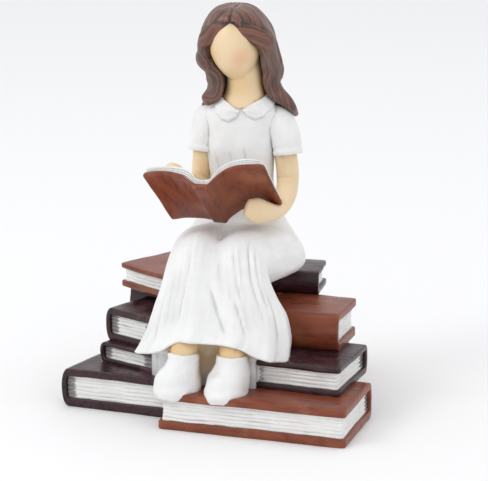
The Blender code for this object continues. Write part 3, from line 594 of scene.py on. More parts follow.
def tube(name, rows, colour, steps, sides=24, hollow=None, relief=None, amount=0.1):
    """A round limb through rows of: x, y, z, half width, half thickness."""
    centres = [Vector(curve_value(rows, k / steps)[:3]) for k in range(steps + 1)]
    rings, flows, normal, along = [], [], None, 0.0
    for k in range(steps + 1):
        ahead = (centres[min(k + 1, steps)] - centres[max(k - 1, 0)]).normalized()
        if normal is None:
            normal = Vector((0, 1, 0)).cross(ahead)
        wide = (normal - ahead * normal.dot(ahead)).normalized()
        normal = wide
        thin = ahead.cross(wide)
        if k:
            along += (centres[k] - centres[k - 1]).length
        half, flat = curve_value(rows, k / steps)[3:5]
        ring, flow = [], []
        for i in range(sides + 1):
            a = 2 * pi * i / sides
            swell = 1.0 + (relief(a, k / steps) if relief else 0.0)
            if i < sides:
                turned = wide * (half * swell * cos(a)), thin * (flat * swell * sin(a))
                ring.append(centres[k] + turned[0] + turned[1])
            flow.append((a * (half + flat) / 2, along, 0.0))
        rings.append(ring)
        flows.append(flow)
    last = (centres[-1] - centres[-2]).normalized()
    first = (centres[0] - centres[1]).normalized()
    half, flat = rows[-1][3:5]
    if hollow:
        wall, deep = hollow
        for share, back in ((0.97, -0.25), (1 - wall / half, 0.0), (1 - wall / half, deep)):
            rings.append([centres[-1] + (p - centres[-1]) * share - last * back for p in rings[steps]])
            flows.append(flows[-1])
        tip = centres[-1] - last * deep
    else:
        for angle in (0.5, 1.0, 1.35):
            moved = centres[-1] + last * (0.6 * half * sin(angle))
            rings.append([moved + (p - centres[-1]) * cos(angle) for p in rings[steps]])
            flows.append(flows[-1])
        tip = centres[-1] + last * (0.6 * half)
    rings = [[hand(GIRL @ p, amount, 5.0) for p in ring] for ring in rings]
    loft(name, rings, colour, GIRL @ (centres[0] + first * 0.5 * rows[0][3]), GIRL @ tip, flows)


def arms():
    seat = SEAT_Z

    def sleeve_relief(a, s):
        cuff_band = 0.035 * bump(s - 0.93, 0.05) - 0.03 * bump(s - 0.84, 0.04)
        return cuff_band + 0.025 * sin(5 * a + 3 * s) * s

    for side, word, shoulder, cuff in ((-1, "right", 10.6, 13.1), (1, "left", 11.4, 15.7)):
        sleeve = [
            (side * 7.0, 0.0, seat + 50.6, 4.6, 5.0),
            (side * shoulder, -0.2, seat + 50.4, 5.2, 5.4),
            (side * (shoulder * 0.45 + cuff * 0.55), -0.6, seat + 46.8, 5.0, 5.7),
            (side * (shoulder * 0.15 + cuff * 0.85), -1.2, seat + 43.2, 4.8, 5.6),
            (side * cuff, -1.8, seat + 39.8, 4.7, 5.5),
        ]
        tube(f"sleeve_{word}", sleeve, "dress_white", 34, 52, (0.9, 1.6), sleeve_relief, 0.2)
    left = [
        (12.6, -0.8, seat + 49, 3.5, 3.6),
        (14.4, -1.2, seat + 41, 3.7, 3.9),
        (15.2, -0.8, seat + 35, 3.7, 3.9),
        (15.4, -0.8, seat + 31.0, 3.7, 3.8),
        (15.9, -5.0, seat + 27.6, 3.4, 3.5),
        (15.7, -9.4, seat + 24.6, 2.7, 2.8),
        (14.3, -14.4, seat + 23.2, 2.4, 2.6),
        (11.8, -18.8, seat + 24.0, 2.6, 3.6),
        (9.2, -21.8, seat + 25.2, 2.3, 4.2),
        (6.8, -23.2, seat + 26.2, 1.6, 3.0),
    ]
    tube("arm_left", left, "skin", 60, 32)
    right = [
        (-11.8, -0.8, seat + 49, 3.5, 3.6),
        (-12.7, -1.2, seat + 41, 3.6, 3.9),
        (-13.2, -0.6, seat + 34, 3.6, 3.9),
        (-13.8, -0.8, seat + 29.5, 3.7, 3.9),
        (-14.6, -6.5, seat + 29.0, 3.4, 3.4),
        (-15.8, -13.0, seat + 31.4, 2.9, 2.9),
        (-17.0, -19.0, seat + 34.8, 2.8, 2.9),
        (-17.4, -23.2, seat + 37.3, 3.0, 2.4),
        (-17.4, -25.8, seat + 38.2, 2.4, 1.9),
    ]
    tube("arm_right", right, "skin", 56, 32)


def legs():
    seat = SEAT_Z
    feet = ((-1, "right", -9.2, -41.8, -66, 7.9, 2.8), (1, "left", 6.6, -41.1, -36, 8.0, 2.9))
    for side, word, x, y, toe_turn, long, ahead in feet:
        heading = Vector((sin(radians(toe_turn)), -cos(radians(toe_turn)), 0))
        ankle = Vector((x, y, 0)) + heading * (ANKLE_AHEAD * ahead)
        shin = [
            (side * 7.0, -33.0, seat - 4, 5.6, 5.6),
            (ankle.x, -37.4, FOOT_Z + 19, 4.8, 4.8),
            (ankle.x, ankle.y + 1, FOOT_Z + 13.0, 4.6, 4.6),
            (ankle.x, ankle.y, FOOT_Z + 8.0, 4.4, 4.4),
        ]
        tube(f"shin_{word}", shin, "skin", 16, 32)
        across = Vector((-heading.y, heading.x, 0))
        boot = [
            (12.2, ANKLE_AHEAD, 0.58, 0.76),
            (11.7, ANKLE_AHEAD, 0.62, 0.82),
            (9.4, ANKLE_AHEAD, 0.655, 0.84),
            (7.2, 0.52, 0.78, 0.89),
            (4.5, 0.9, 0.95, 0.97),
            (1.6, 1.0, 1.0, 1.0),
            (-0.6, 0.98, 0.97, 0.97),
            (-BOOT_OVERHANG, 0.94, 0.86, 0.86),
        ]
        rings = []
        steps = 34
        for k in range(steps + 1):
            height, shift, length, width = curve_value(boot, k / steps)
            middle = Vector((x, y, FOOT_Z + height)) + heading * (shift * ahead)
            middle.y -= 1.2 * smooth(3.0, 0.0, height)
            ring = []
            for a in turns(48):
                # The toe is a little broader than the heel.
                broad = 1.0 + 0.05 * cos(a) * smooth(8.0, 2.0, height)
                point = middle + heading * (long * length * cos(a))
                ring.append(point + across * (BOOT_HALF_WIDTH * width * broad * sin(a)))
            rings.append([hand(hand(GIRL @ p, 0.5, 5.0), 0.22, 2.2) for p in ring])
        top = GIRL @ Vector((ankle.x, ankle.y, FOOT_Z + 12.4))
        loft(f"boot_{word}", rings, "dress_white", top)


# Head and hair.


def head():
    lean = Matrix.Rotation(radians(HEAD_NOD), 4, "X") @ Matrix.Rotation(radians(-HEAD_TILT), 4, "Y")
    place = GIRL @ Matrix.Translation((HEAD_X, HEAD_Y, HEAD_Z)) @ lean
    rings = []
    rows, sides = 44, 60
    for row in range(1, rows):
        a = pi * row / rows
        height, radius = cos(a), sin(a)
        narrow = 1.0 - 0.26 * max(0.0, -height) ** 1.3
        ring = []
        for b in turns(sides):
            across = HEAD_HALF_WIDTH * narrow * radius * sin(b)
            deep = -HEAD_HALF_DEPTH * radius * cos(b) * (1 - 0.1 * max(0.0, -height))
            ring.append(place @ Vector((across, deep, HEAD_HEIGHT / 2 * height)))
        rings.append(ring)
    top, bottom = (place @ Vector((0, 0, s * HEAD_HEIGHT / 2)) for s in (1, -1))
    loft("head", rings, "skin", top, bottom)
    neck = [
        (0.9, -1.8, 93.6, 7.6, 5.2),
        (1.3, -2.6, 98.4, 7.6, 6.6),
        (1.5, -3.0, 102.4, 6.2, 5.2),
        (1.4, -3.1, 108, 5.7, 5.3),
        (0.6, -2.8, 113, 5.6, 4.8),
    ]
    tube("neck", neck, "skin", 26, 48)


# Rows down the hair: z, middle, the half widths to her right and left, the reach to the front and the
# back, and the angles in degrees at which it opens at her right and left.
HAIR = (
    (129.8, -1.8, 4.0, 3.4, 5.2, 5.2, 3, 3),
    (128.8, -1.7, 6.7, 6.0, 9.0, 8.4, 3, 3),
    (126.4, -1.5, 9.2, 8.4, 11.4, 10.8, 6, 8),
    (122.6, -1.2, 11.3, 10.9, 11.4, 12.4, 30, 34),
    (118.8, -1.0, 12.4, 12.4, 10.4, 13.2, 58, 56),
    (115.2, -0.8, 13.1, 13.0, 9.6, 13.4, 72, 70),
    (112.0, -0.6, 14.3, 13.6, 9.2, 13.2, 74, 72),
    (109.2, -0.5, 11.5, 13.8, 9.2, 12.8, 72, 72),
    (106.4, -0.3, 10.9, 13.2, 9.2, 12.8, 70, 72),
    (103.0, -0.2, 10.4, 12.0, 9.2, 12.6, 66, 72),
    (100.0, 0.0, 11.0, 13.6, 9.0, 12.8, 68, 76),
    (96.6, 0.0, 12.8, 16.2, 8.6, 12.8, 84, 92),
    (92.6, 0.0, 11.0, 15.6, 6.0, 12.2, 104, 104),
    (88.6, 0.0, 9.2, 12.0, 4.0, 10.8, 118, 124),
)


def strand_place(p):
    """Which strand a point of the hair is on: strands fall sideways and forwards from the parting in
    front of the crown, and fan out behind it. Lower down they wave."""
    side = abs(p.x - PART_X)
    if p.y < CROWN_Y:
        q = p.y - CROWN_Y
    else:
        q = 13.0 * atan2(p.y - CROWN_Y, max(side, 0.01))
    q += STRAND_SLANT * side
    low = smooth(118.0, 108.0, p.z)
    q += 1.3 * low * sin(0.42 * p.z + 0.12 * q)
    q += 0.7 * noise.noise(p * 0.16) + 0.25 * noise.noise(p * 0.5)
    return q


def strand_relief(p):
    """Height of the strands: broad locks, strands and fine hairs."""
    q = strand_place(p)
    locks = abs(sin(pi * q / 5.2))
    strands = abs(sin(pi * q / 1.75 + 1.4 * noise.noise(p * 0.25)))
    fine = sin(2 * pi * q / 0.85)
    away = smooth(0.5, 2.2, abs(p.x - PART_X))
    part = bump(p.x - PART_X, 0.45) * smooth(3.0, -1.0, p.y) * smooth(119.0, 122.0, p.z)
    depth = 0.22 + 0.28 * smooth(121.0, 112.0, p.z)
    return away * (depth * (locks - 0.7) + 0.12 * (strands - 0.6) + 0.03 * fine) - 0.6 * part


def hair_point(t, angle, proud=0.0):
    z, middle, right, left, front, back = curve_value(HAIR, t)[:6]
    side, ahead = sin(angle), cos(angle)
    wave = proud + 0.45 * sin(7 * angle + 0.25 * z) * min(1.0, 4 * t)
    half = (right if side < 0 else left) + wave
    reach = (front if ahead > 0 else back) + wave
    return Vector((middle + half * side, HAIR_Y - reach * ahead, z))


def carved_hair(p, centre):
    """The point moved out along the line from the middle of the head by the strands' height."""
    out = (p - centre).normalized()
    return p + out * strand_relief(p)


def hair_flow(p):
    return (strand_place(p), p.z, abs(p.x - PART_X))


def hair():
    crown = Vector((HAIR[0][1], HAIR_Y, STATUE_HEIGHT - 0.2))
    cap, flows = [], []
    heart = Vector((-1.0, HAIR_Y, 116.0))

    def add_ring(ring):
        flows.append([hair_flow(p) for p in ring])
        cap.append([GIRL @ carved_hair(p, heart) for p in ring])

    for k in range(7):
        # From the crown out to the first row of the table.
        share = (k + 1) / 8
        ring = []
        for a in turns(HAIR_ARC):
            p = hair_point(0.0, a, CAP_PROUD)
            flat = crown.lerp(p, share)
            flat.z = p.z + (crown.z - p.z) * sqrt(1 - share**2)
            ring.append(flat)
        add_ring(ring)
    steps = 22
    for k in range(steps + 1):
        t = CAP_END * k / steps
        add_ring([hair_point(t, a, CAP_PROUD * (1 - t / CAP_END)) for a in turns(HAIR_ARC)])
    loft("hair_cap", cap, "hair_brown", GIRL @ crown, flows=flows)
    rings, flows = [], []
    for k in range(HAIR_ROWS):
        t = 0.12 + 0.88 * k / (HAIR_ROWS - 1)
        z, middle, right, left, front, back, edge_right, edge_left = curve_value(HAIR, t)
        start, end = -radians(edge_right), radians(edge_left) - 2 * pi
        ring, flow = [], []
        for i in range(HAIR_ARC):
            share = i / (HAIR_ARC - 1)
            p = hair_point(t, start + (end - start) * share)
            centre = Vector((middle, HAIR_Y, p.z - 2.0))
            edge = smooth(0.0, 0.03, share) * smooth(1.0, 0.97, share)
            flow.append(hair_flow(p))
            ring.append(p.lerp(carved_hair(p, centre), edge))
        deep = 0.32 * (left + right) / 2
        for a in (end + 0.15, (start + end) / 2 + pi, start - 0.15):
            p = Vector((middle + deep * sin(a), HAIR_Y - deep * cos(a), z))
            ring.append(p)
            flow.append(hair_flow(p))
        rings.append([GIRL @ p for p in ring])
        flows.append(flow)
    loft("hair", rings, "hair_brown", flows=flows)


def front_locks():
    right = [
        (-1.6, -10.4, 126.0, 1.5, 1.3),
        (-4.3, -10.9, 124.2, 2.4, 1.5),
        (-9.0, -9.9, 120.4, 3.0, 1.8),
        (-10.9, -8.2, 118.0, 2.3, 1.9),
        (-11.2, -7.0, 115.2, 2.3, 2.0),
        (-11.2, -6.6, 112.4, 3.1, 2.1),
        (-8.9, -6.8, 109.6, 2.6, 2.0),
        (-7.6, -7.2, 106.8, 3.3, 2.0),
        (-7.2, -7.2, 104.2, 3.1, 1.9),
        (-8.0, -7.0, 101.6, 3.0, 1.7),
        (-10.6, -6.4, 99.2, 2.2, 1.3),
    ]
    left = [
        (-1.2, -10.4, 126.0, 1.5, 1.3),
        (3.4, -11.1, 123.2, 2.6, 1.5),
        (8.8, -9.8, 119.8, 3.0, 1.9),
        (9.9, -8.0, 117.4, 2.9, 2.0),
        (10.2, -6.6, 114.8, 2.9, 2.2),
        (10.6, -6.0, 112.0, 3.1, 2.2),
        (11.0, -5.4, 109.2, 3.1, 2.1),
        (10.9, -5.0, 105.4, 2.8, 2.0),
        (12.1, -4.0, 102.2, 2.7, 1.9),
        (14.6, -2.0, 99.4, 2.1, 1.5),
        (16.4, 0.4, 96.4, 1.5, 1.2),
        (17.0, 4.0, 93.6, 0.9, 0.9),
    ]

    def lock_relief(a, s):
        twist = 2.4 * s
        big = 0.09 * (abs(sin(1.5 * a + twist)) - 0.6)
        return big + 0.05 * (abs(sin(5 * a + 2 * twist)) - 0.6) + 0.02 * sin(19 * a + 9 * s)

    tube("lock_right", right, "hair_brown", 92, 48, None, lock_relief)
    tube("lock_left", left, "hair_brown", 100, 48, None, lock_relief)


# The open book.


def open_book():
    tilt = radians(OPEN_BOOK_TILT)
    foot = Vector((-1.3, -8.5, SEAT_Z + 19.5))
    turn = Matrix.Rotation(radians(-0.5), 3, "Z")
    upward = turn @ Vector((0.0, -cos(tilt), sin(tilt)))
    reader = turn @ Vector((0.0, sin(tilt), cos(tilt)))
    across = upward.cross(reader)
    across = across if across.x > 0 else -across

    def at(u, along, lift):
        share = along / OPEN_BOOK_TALL
        reach, climb, droop = 17.4 - 0.4 * share, 7.4 + 1.4 * share, 0.2
        if u < 0:
            reach, climb, droop = 13.8 + 4.0 * share, 0.9 + 3.5 * share, 2.2 - 0.4 * share
        band = OPEN_SPINE_HALF / (OPEN_SPINE_HALF + reach)
        out = max(0.0, (abs(u) - band) / (1 - band))
        rise = climb * (1 - math.exp(-out * reach / 4.5)) - droop * out**2.5
        lateral = math.copysign(min(abs(u) / band, 1.0) * OPEN_SPINE_HALF + out * reach, u)
        return foot + across * lateral + upward * along + reader * (rise + lift)

    tall, thick = OPEN_BOOK_TALL, OPEN_BOARD_THICK
    places = [k / 30 - 1 for k in range(61)]
    for extra in (0.085, 0.115, 0.15, 0.985, 0.995):
        places += [extra, -extra]
    places = sorted(places)
    corner, edge = 0.11, 0.35
    rings, flows = [], []
    for u in places:
        proud = OPEN_SPINE_PROUD * (1 - smooth(0.11, 0.155, abs(u)))
        # The corners of the boards and their edges are round.
        near = max(0.0, (abs(u) - (1 - corner)) / corner)
        trim = 1.2 * (1 - sqrt(max(0.0, 1 - near**2)))
        thin = 0.3 * smooth(0.98, 1.0, abs(u))
        low, high = -proud + thin, thick - thin
        half = (low + high) / 2
        rows = [trim + edge + (tall - 2 * trim - 2 * edge) * k / 18 for k in range(19)]
        outline = [(s, low) for s in rows]
        outline += [(tall - trim - 0.1, low + 0.12), (tall - trim, half), (tall - trim - 0.1, high - 0.12)]
        outline += [(s, high) for s in reversed(rows)]
        outline += [(trim + 0.1, high - 0.12), (trim, half), (trim + 0.1, low + 0.12)]
        rings.append([hand(at(u, s, h), 0.25, 7.0) for s, h in outline])
        flows.append([(u * 18.0, s, h) for s, h in outline])
    loft("open_cover", rings, "cover_tan", flows=flows)
    layers = 4
    rings, flows = [], []
    for u in [k / 34 - 1 for k in range(69)]:
        u *= 0.955
        leaves = OPEN_PAGES_THICK * (1 - 0.45 * abs(u) ** 2) * (0.5 + 0.5 * min(1.0, abs(u) * 4))
        profile = []
        for k in range(4 * layers + 1):
            leaf, phase = divmod(k, 4)
            share = (leaf + LEAF_STEPS[phase]) / layers
            inset = 0.7 + 0.4 * LEAF_GROOVE[phase] * (k < 4 * layers)
            profile.append((inset, thick - SINK + (leaves + SINK) * share))
        top = profile[-1][1]
        middle = [(s, top + 0.1 * sin(0.3 * s + 3 * u)) for s in spread(2.0, tall - 2.0, 1.6)]
        outline = profile + middle + [(tall - s, h) for s, h in reversed(profile)]
        rings.append([hand(at(u, s, h), 0.18, 6.0) for s, h in outline])
        flows.append([(u * 18.0, s, h) for s, h in outline])
    loft("open_pages", rings, "page_white", flows=flows)


# One piece.


def shells_of(made):
    left, shells = set(made.faces), []
    while left:
        shell, reach = [], [left.pop()]
        while reach:
            face = reach.pop()
            shell.append(face)
            for edge in face.edges:
                for other in edge.link_faces:
                    if other in left:
                        left.discard(other)
                        reach.append(other)
        shells.append(shell)
    return shells


def cast_in_one():
    """Joins every form into the one piece, and drops the pockets sealed inside it."""
    forms = bpy.data.collections["forms"]
    base = forms.objects["front_book_cover"]
    joined = bpy.data.objects.new("joined", base.data.copy())
    bpy.context.scene.collection.objects.link(joined)
    forms.objects.unlink(base)
    bpy.data.objects.remove(base)
    union = joined.modifiers.new("cast", "BOOLEAN")
    union.operation = "UNION"
    union.operand_type = "COLLECTION"
    union.collection = forms
    union.solver = "MANIFOLD"
    union.material_mode = "TRANSFER"
    graph = bpy.context.evaluated_depsgraph_get()
    mesh = bpy.data.meshes.new_from_object(joined.evaluated_get(graph))
    bpy.data.objects.remove(joined)
    for obj in list(forms.objects):
        bpy.data.objects.remove(obj)
    bpy.data.collections.remove(forms)
    made = bmesh.new()
    made.from_mesh(mesh)
    bmesh.ops.triangulate(made, faces=made.faces)
    bmesh.ops.dissolve_degenerate(made, dist=1e-7, edges=made.edges)
    bmesh.ops.triangulate(made, faces=made.faces)
    shells = shells_of(made)
    outer = max(shells, key=len)
    inner = [face for shell in shells if shell is not outer for face in shell]
    bmesh.ops.delete(made, geom=inner, context="FACES")
    made.to_mesh(mesh)
    made.free()
    mesh.validate()
    statue = bpy.data.objects.new("statue_painted", mesh)
    bpy.context.scene.collection.objects.link(statue)
    return statue


def shade_and_wear(mesh):
    """Stores how sheltered each point is and how hollow or sharp it is: the paints darken sheltered and
    hollow points as painted shade.
    """
    count = len(mesh.vertices)
    places = np.empty(count * 3, np.float32)
    mesh.vertices.foreach_get("co", places)
    places = places.reshape(-1, 3) * 1000.0
    normals = np.empty(count * 3, np.float32)
    mesh.vertex_normals.foreach_get("vector", normals)
    normals = normals.reshape(-1, 3)
    edges = np.empty(len(mesh.edges) * 2, np.int32)
    mesh.edges.foreach_get("vertices", edges)
    edges = edges.reshape(-1, 2)
    degree = np.bincount(edges.ravel(), minlength=count).astype(np.float32)

    def spread_out(values):
        total = np.zeros_like(values)
        np.add.at(total, edges[:, 0], values[edges[:, 1]])
        np.add.at(total, edges[:, 1], values[edges[:, 0]])
        scale = degree if values.ndim == 1 else degree[:, None]
        return total / np.maximum(scale, 1)

    lengths = np.linalg.norm(places[edges[:, 0]] - places[edges[:, 1]], axis=1)
    mean_length = np.zeros(count, np.float32)
    np.add.at(mean_length, edges[:, 0], lengths)
    np.add.at(mean_length, edges[:, 1], lengths)
    mean_length /= np.maximum(degree, 1)
    bend = ((spread_out(places) - places) * normals).sum(axis=1) / np.maximum(mean_length, 0.05)
    for _ in range(2):
        bend = 0.5 * bend + 0.5 * spread_out(bend)
    faces = [tuple(face.vertices) for face in mesh.polygons]
    tree = BVHTree.FromPolygons([tuple(p) for p in places.tolist()], faces)
    golden = pi * (3 - sqrt(5))
    rays = []
    for k in range(RAYS):
        up = sqrt((k + 0.5) / RAYS)
        flat = sqrt(1 - up * up)
        rays.append((flat * cos(golden * k), flat * sin(golden * k), up))
    shelter = np.zeros(count, np.float32)
    for i, (p, n) in enumerate(zip(places.tolist(), normals.tolist())):
        n = Vector(n)
        side = n.orthogonal().normalized()
        other = n.cross(side)
        start = Vector(p) + n * 0.12
        hidden = 0.0
        for x, y, up in rays:
            hit = tree.ray_cast(start, side * x + other * y + n * up, RAY_REACH)
            if hit[3] is not None:
                hidden += 1.0 - 0.6 * hit[3] / RAY_REACH
        shelter[i] = hidden / RAYS
    for _ in range(5):
        shelter = 0.5 * shelter + 0.5 * spread_out(shelter)
    for name, values in (("shelter", shelter), ("bend", bend)):
        layer = mesh.attributes.new(name, "FLOAT", "POINT")
        layer.data.foreach_set("value", values.astype(np.float32))


# Paint. A small set of helpers builds each material's nodes.


class Paint:
    """A material. The inputs of its nodes are given as numbers, colours or the sockets that feed them."""

    def __init__(self, name, roughness, coat=0.0, coat_roughness=0.3, specular=0.5):
        self.material = bpy.data.materials.new(name)
        self.material.use_nodes = True
        self.tree = self.material.node_tree
        self.shader = self.tree.nodes["Principled BSDF"]
        self.fill(self.shader, {"Roughness": roughness, "Specular IOR Level": specular})
        self.fill(self.shader, {"Coat Weight": coat, "Coat Roughness": coat_roughness})

    def fill(self, node, inputs):
        for key, value in inputs.items():
            if isinstance(value, bpy.types.NodeSocket):
                self.tree.links.new(value, node.inputs[key])
            else:
                node.inputs[key].default_value = value

    def node(self, kind, inputs, **values):
        made = self.tree.nodes.new(kind)
        for key, value in values.items():
            setattr(made, key, value)
        self.fill(made, inputs)
        return made

    def attribute(self, name):
        node = self.node("ShaderNodeAttribute", {}, attribute_name=name)
        return node.outputs["Vector" if name == "flow" else "Fac"]

    def place(self):
        return self.node("ShaderNodeTexCoord", {}).outputs["Object"]

    def scaled(self, vector, scale):
        """A vector scaled, and moved off the whole numbers, where the noise would show its grid."""
        inputs = {0: vector, 1: scale, 2: NOISE_SHIFT}
        return self.node("ShaderNodeVectorMath", inputs, operation="MULTIPLY_ADD").outputs[0]

    def noise(self, vector, scale, detail=3.0, rough=0.55):
        inputs = {"Vector": vector, "Scale": scale, "Detail": detail, "Roughness": rough}
        return self.node("ShaderNodeTexNoise", inputs).outputs["Fac"]

    def ranged(self, value, low, high, to_low=0.0, to_high=1.0):
        inputs = {"Value": value, "From Min": low, "From Max": high, "To Min": to_low, "To Max": to_high}
        return self.node("ShaderNodeMapRange", inputs, interpolation_type="SMOOTHSTEP").outputs["Result"]

    def times(self, first, second):
        return self.node("ShaderNodeMath", {0: first, 1: second}, operation="MULTIPLY").outputs[0]

    def mix(self, share, first, second):
        """Colours mixed by share. A colour is a tuple or a socket."""
        first, second = ((*c, 1.0) if isinstance(c, tuple) else c for c in (first, second))
        inputs = {"Factor": share, 6: first, 7: second}
        return self.node("ShaderNodeMix", inputs, data_type="RGBA", clamp_factor=True).outputs[2]

    def tint(self, colour, value, low, high, share, shade):
        """The colour with a share of the shade in it where the value comes near high."""
        return self.mix(self.times(self.ranged(value, low, high), share), colour, shade)

    def near(self, centre, low, high):
        """1 at the centre, given in millimetres, and 0 beyond high."""
        inputs = {0: self.place(), 1: Vector(centre) * MM}
        node = self.node("ShaderNodeVectorMath", inputs, operation="DISTANCE")
        return self.ranged(node.outputs["Value"], low * MM, high * MM, 1.0, 0.0)

    def bump(self, height, strength, distance):
        inputs = {"Strength": strength, "Distance": distance * MM, "Height": height}
        for under in self.shader.inputs["Normal"].links:
            inputs["Normal"] = under.from_socket
        self.fill(self.shader, {"Normal": self.node("ShaderNodeBump", inputs).outputs["Normal"]})

    def finish(self, colour, rough):
        self.fill(self.shader, {"Base Color": colour, "Roughness": rough})


def paint_dress():
    p = Paint("dress_white", 0.5, 0.06, 0.4)
    shelter, bend = p.attribute("shelter"), p.attribute("bend")
    cloud = p.noise(p.place(), 120.0, 4.0)
    colour = p.mix(p.ranged(cloud, 0.3, 0.7), (0.80, 0.80, 0.80), (0.87, 0.87, 0.865))
    # Painted shade: grey in the creases and in sheltered places.
    colour = p.tint(colour, bend, 0.02, 0.20, 0.62, (0.46, 0.46, 0.47))
    colour = p.tint(colour, shelter, 0.5, 0.95, 0.35, (0.58, 0.56, 0.53))
    # Painted shade: an ochre tint in the sheltered white below the hem, between the feet.
    for centre, reach in ANKLES:
        run = p.times(p.near(centre, 3.0, reach), p.ranged(shelter, 0.12, 0.4))
        colour = p.mix(run, colour, (0.54, 0.40, 0.24))
    p.finish(colour, p.ranged(cloud, 0.3, 0.7, 0.42, 0.58))
    p.bump(p.noise(p.place(), 900.0, 4.0), 0.12, 0.12)
    p.bump(p.noise(p.place(), 260.0, 3.0), 0.2, 0.25)


def paint_skin():
    p = Paint("skin", 0.42, 0.1, 0.35)
    shelter, bend = p.attribute("shelter"), p.attribute("bend")
    cloud = p.noise(p.place(), 90.0, 3.0)
    colour = p.mix(p.ranged(cloud, 0.3, 0.7), (0.80, 0.60, 0.37), (0.84, 0.66, 0.43))
    # Painted shade: ochre where the skin is sheltered.
    colour = p.tint(colour, shelter, 0.18, 0.75, 0.85, (0.60, 0.38, 0.16))
    # Blushes, then ochre spots of painted shade under the chin, beside the hair and round the ankles.
    for spots, shade in ((BLUSHES, (0.80, 0.36, 0.20)), (PAINTED_SHADE_SPOTS, (0.72, 0.46, 0.18))):
        for centre, reach, share in spots:
            colour = p.mix(p.times(p.near(centre, 0.5, reach), share), colour, shade)
    # Painted shade: brown in the hollows.
    colour = p.tint(colour, bend, 0.08, 0.35, 0.6, (0.36, 0.20, 0.09))
    p.finish(colour, p.ranged(cloud, 0.3, 0.7, 0.36, 0.5))
    p.bump(p.noise(p.place(), 700.0, 3.0), 0.08, 0.12)


def paint_hair():
    p = Paint("hair_brown", 0.40, 0.3, 0.26)
    shelter, bend, flow = p.attribute("shelter"), p.attribute("bend"), p.attribute("flow")
    streak = p.noise(p.scaled(flow, (0.8, 0.07, 0.07)), 1.0, 4.0, 0.65)
    fine = p.noise(p.scaled(flow, (2.6, 0.10, 0.10)), 1.0, 3.0, 0.65)
    broad = p.noise(p.place(), 110.0, 2.0)
    colour = p.mix(p.ranged(streak, 0.38, 0.64), (0.048, 0.021, 0.017), (0.195, 0.066, 0.037))
    colour = p.tint(colour, fine, 0.48, 0.70, 0.55, (0.32, 0.15, 0.095))
    colour = p.tint(colour, fine, 0.50, 0.30, 0.7, (0.032, 0.014, 0.012))
    # Painted sheen: greyish patches over the hair.
    colour = p.tint(colour, broad, 0.48, 0.68, 0.35, (0.17, 0.13, 0.12))
    colour = p.tint(colour, bend, -0.03, -0.20, 0.5, (0.30, 0.14, 0.09))
    # Painted shade: near black in the grooves and where the hair is sheltered.
    colour = p.tint(colour, bend, 0.03, 0.24, 0.7, (0.020, 0.010, 0.009))
    colour = p.tint(colour, shelter, 0.55, 0.95, 0.6, (0.025, 0.012, 0.010))
    # The parting is a dark line from the hairline to the crown.
    away = p.node("ShaderNodeSeparateXYZ", {0: flow}).outputs["Z"]
    top = p.node("ShaderNodeSeparateXYZ", {0: p.place()}).outputs
    line = p.times(p.ranged(away, 0.5, 0.12), p.ranged(top["Z"], 0.1245, 0.1255))
    line = p.times(line, p.ranged(top["Y"], 0.010, 0.006))
    colour = p.mix(p.times(line, 0.85), colour, (0.022, 0.010, 0.009))
    p.finish(colour, p.ranged(fine, 0.3, 0.7, 0.34, 0.5))
    p.bump(fine, 0.35, 0.22)
    p.bump(streak, 0.3, 0.35)


def paint_cover(name, base, dark, light, edge_share, roughness):
    p = Paint(name, roughness, 0.12, 0.18, 0.32)
    shelter, bend, flow = p.attribute("shelter"), p.attribute("bend"), p.attribute("flow")
    stroke = p.noise(p.scaled(flow, (0.42, 0.11, 0.42)), 1.0, 4.0, 0.55)
    cloud = p.noise(p.place(), 70.0, 3.0)
    colour = p.mix(p.ranged(stroke, 0.25, 0.66), dark, base)
    colour = p.tint(colour, cloud, 0.5, 0.72, 0.35, light)
    worn = p.times(p.ranged(bend, -0.10, -0.40), edge_share)
    colour = p.mix(p.times(worn, p.ranged(stroke, 0.3, 0.6, 0.35, 1.0)), colour, light)
    # Painted shade: darker where the cover is sheltered.
    colour = p.tint(colour, shelter, 0.3, 0.8, 0.7, tuple(0.4 * c for c in dark))
    p.finish(colour, p.ranged(stroke, 0.3, 0.7, roughness - 0.06, roughness + 0.12))
    p.bump(p.noise(p.place(), 320.0, 4.0), 0.25, 0.25)
    p.bump(stroke, 0.15, 0.3)


def paint_pages():
    p = Paint("page_white", 0.55)
    shelter, bend, flow = p.attribute("shelter"), p.attribute("bend"), p.attribute("flow")
    streak = p.noise(p.scaled(flow, (0.06, 0.06, 3.2)), 1.0, 3.0, 0.6)
    cloud = p.noise(p.place(), 110.0, 3.0)
    colour = p.mix(p.ranged(cloud, 0.3, 0.7), (0.78, 0.775, 0.76), (0.86, 0.86, 0.85))
    # Painted shade: dark lines in the grooves between the leaves and in other hollows.
    colour = p.tint(colour, bend, 0.02, 0.11, 0.92, (0.16, 0.15, 0.14))
    colour = p.tint(colour, streak, 0.54, 0.68, 0.5, (0.45, 0.44, 0.43))
    # Painted shade where the pages are sheltered.
    colour = p.tint(colour, shelter, 0.35, 0.85, 0.55, (0.36, 0.32, 0.30))
    p.finish(colour, p.ranged(cloud, 0.3, 0.7, 0.48, 0.62))
    p.bump(streak, 0.3, 0.2)
    p.bump(p.noise(p.place(), 600.0, 3.0), 0.12, 0.12)


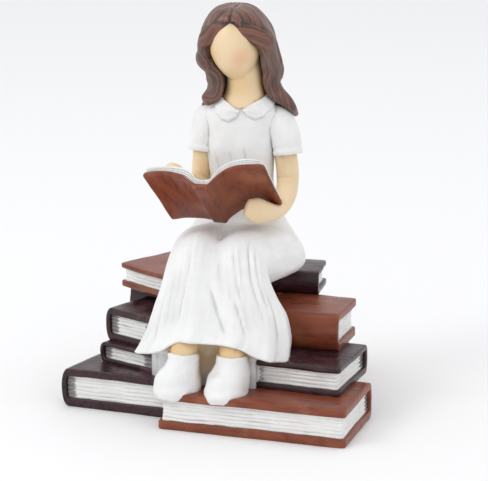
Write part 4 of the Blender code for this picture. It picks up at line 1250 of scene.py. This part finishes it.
def studio():
    floor_mesh = bpy.data.meshes.new("floor")
    corners = [(x * FLOOR_HALF, y * FLOOR_HALF, 0) for x, y in ((-1, -1), (1, -1), (1, 1), (-1, 1))]
    floor_mesh.from_pydata(corners, [], [(0, 1, 2, 3)])
    floor = bpy.data.objects.new("floor", floor_mesh)
    bpy.context.scene.collection.objects.link(floor)
    p = Paint("floor_pale", 0.7, specular=0.2)
    cloud = p.noise(p.place(), 3.0, 2.0)
    p.finish(p.mix(cloud, (0.915, 0.915, 0.92), (0.93, 0.93, 0.935)), 0.7)
    floor_mesh.materials.append(p.material)
    world = bpy.data.worlds.new("studio")
    world.use_nodes = True
    world.node_tree.nodes["Background"].inputs["Color"].default_value = (0.985, 0.99, 1.0, 1.0)
    world.node_tree.nodes["Background"].inputs["Strength"].default_value = WORLD_LIGHT
    bpy.context.scene.world = world
    bpy.context.scene.view_settings.view_transform = "Standard"
    for name, place, size, watts in LAMPS:
        light = bpy.data.lights.new(name, "AREA")
        light.shape = "DISK"
        light.size = size
        light.energy = watts
        obj = bpy.data.objects.new(name, light)
        toward = Vector((0, 0, 0.06)) - Vector(place)
        obj.matrix_world = Matrix.Translation(place) @ toward.to_track_quat("-Z", "Y").to_matrix().to_4x4()
        bpy.context.scene.collection.objects.link(obj)


def camera():
    turn, pitch = radians(CAMERA_TURN), radians(CAMERA_PITCH)
    back = Vector((sin(turn) * cos(pitch), -cos(turn) * cos(pitch), sin(pitch)))
    data = bpy.data.cameras.new("camera")
    data.sensor_width = SENSOR_WIDTH
    data.lens = SENSOR_WIDTH * FOCAL_PIXELS / PHOTO_WIDTH
    data.clip_start = 0.01
    obj = bpy.data.objects.new("camera", data)
    place = Matrix.Translation(CAMERA_TARGET + back * CAMERA_DISTANCE)
    obj.matrix_world = place @ back.to_track_quat("Z", "Y").to_matrix().to_4x4()
    bpy.context.scene.collection.objects.link(obj)
    bpy.context.scene.camera = obj


camera()
studio()
paint_dress()
paint_skin()
paint_hair()
paint_cover("cover_tan", (0.235, 0.056, 0.023), (0.140, 0.030, 0.013), (0.42, 0.16, 0.085), 0.7, 0.32)
paint_cover("cover_plum", (0.046, 0.016, 0.021), (0.020, 0.008, 0.010), (0.16, 0.085, 0.105), 0.6, 0.28)
paint_pages()
forms = bpy.data.collections.new("forms")
bpy.context.scene.collection.children.link(forms)
pile()
dress()
arms()
legs()
head()
hair()
front_locks()
open_book()
statue = cast_in_one()
statue.data.shade_smooth()
statue.data.set_sharp_from_angle(angle=radians(62))
shade_and_wear(statue.data)
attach(statue, "root")
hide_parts("reading_girl_statue")
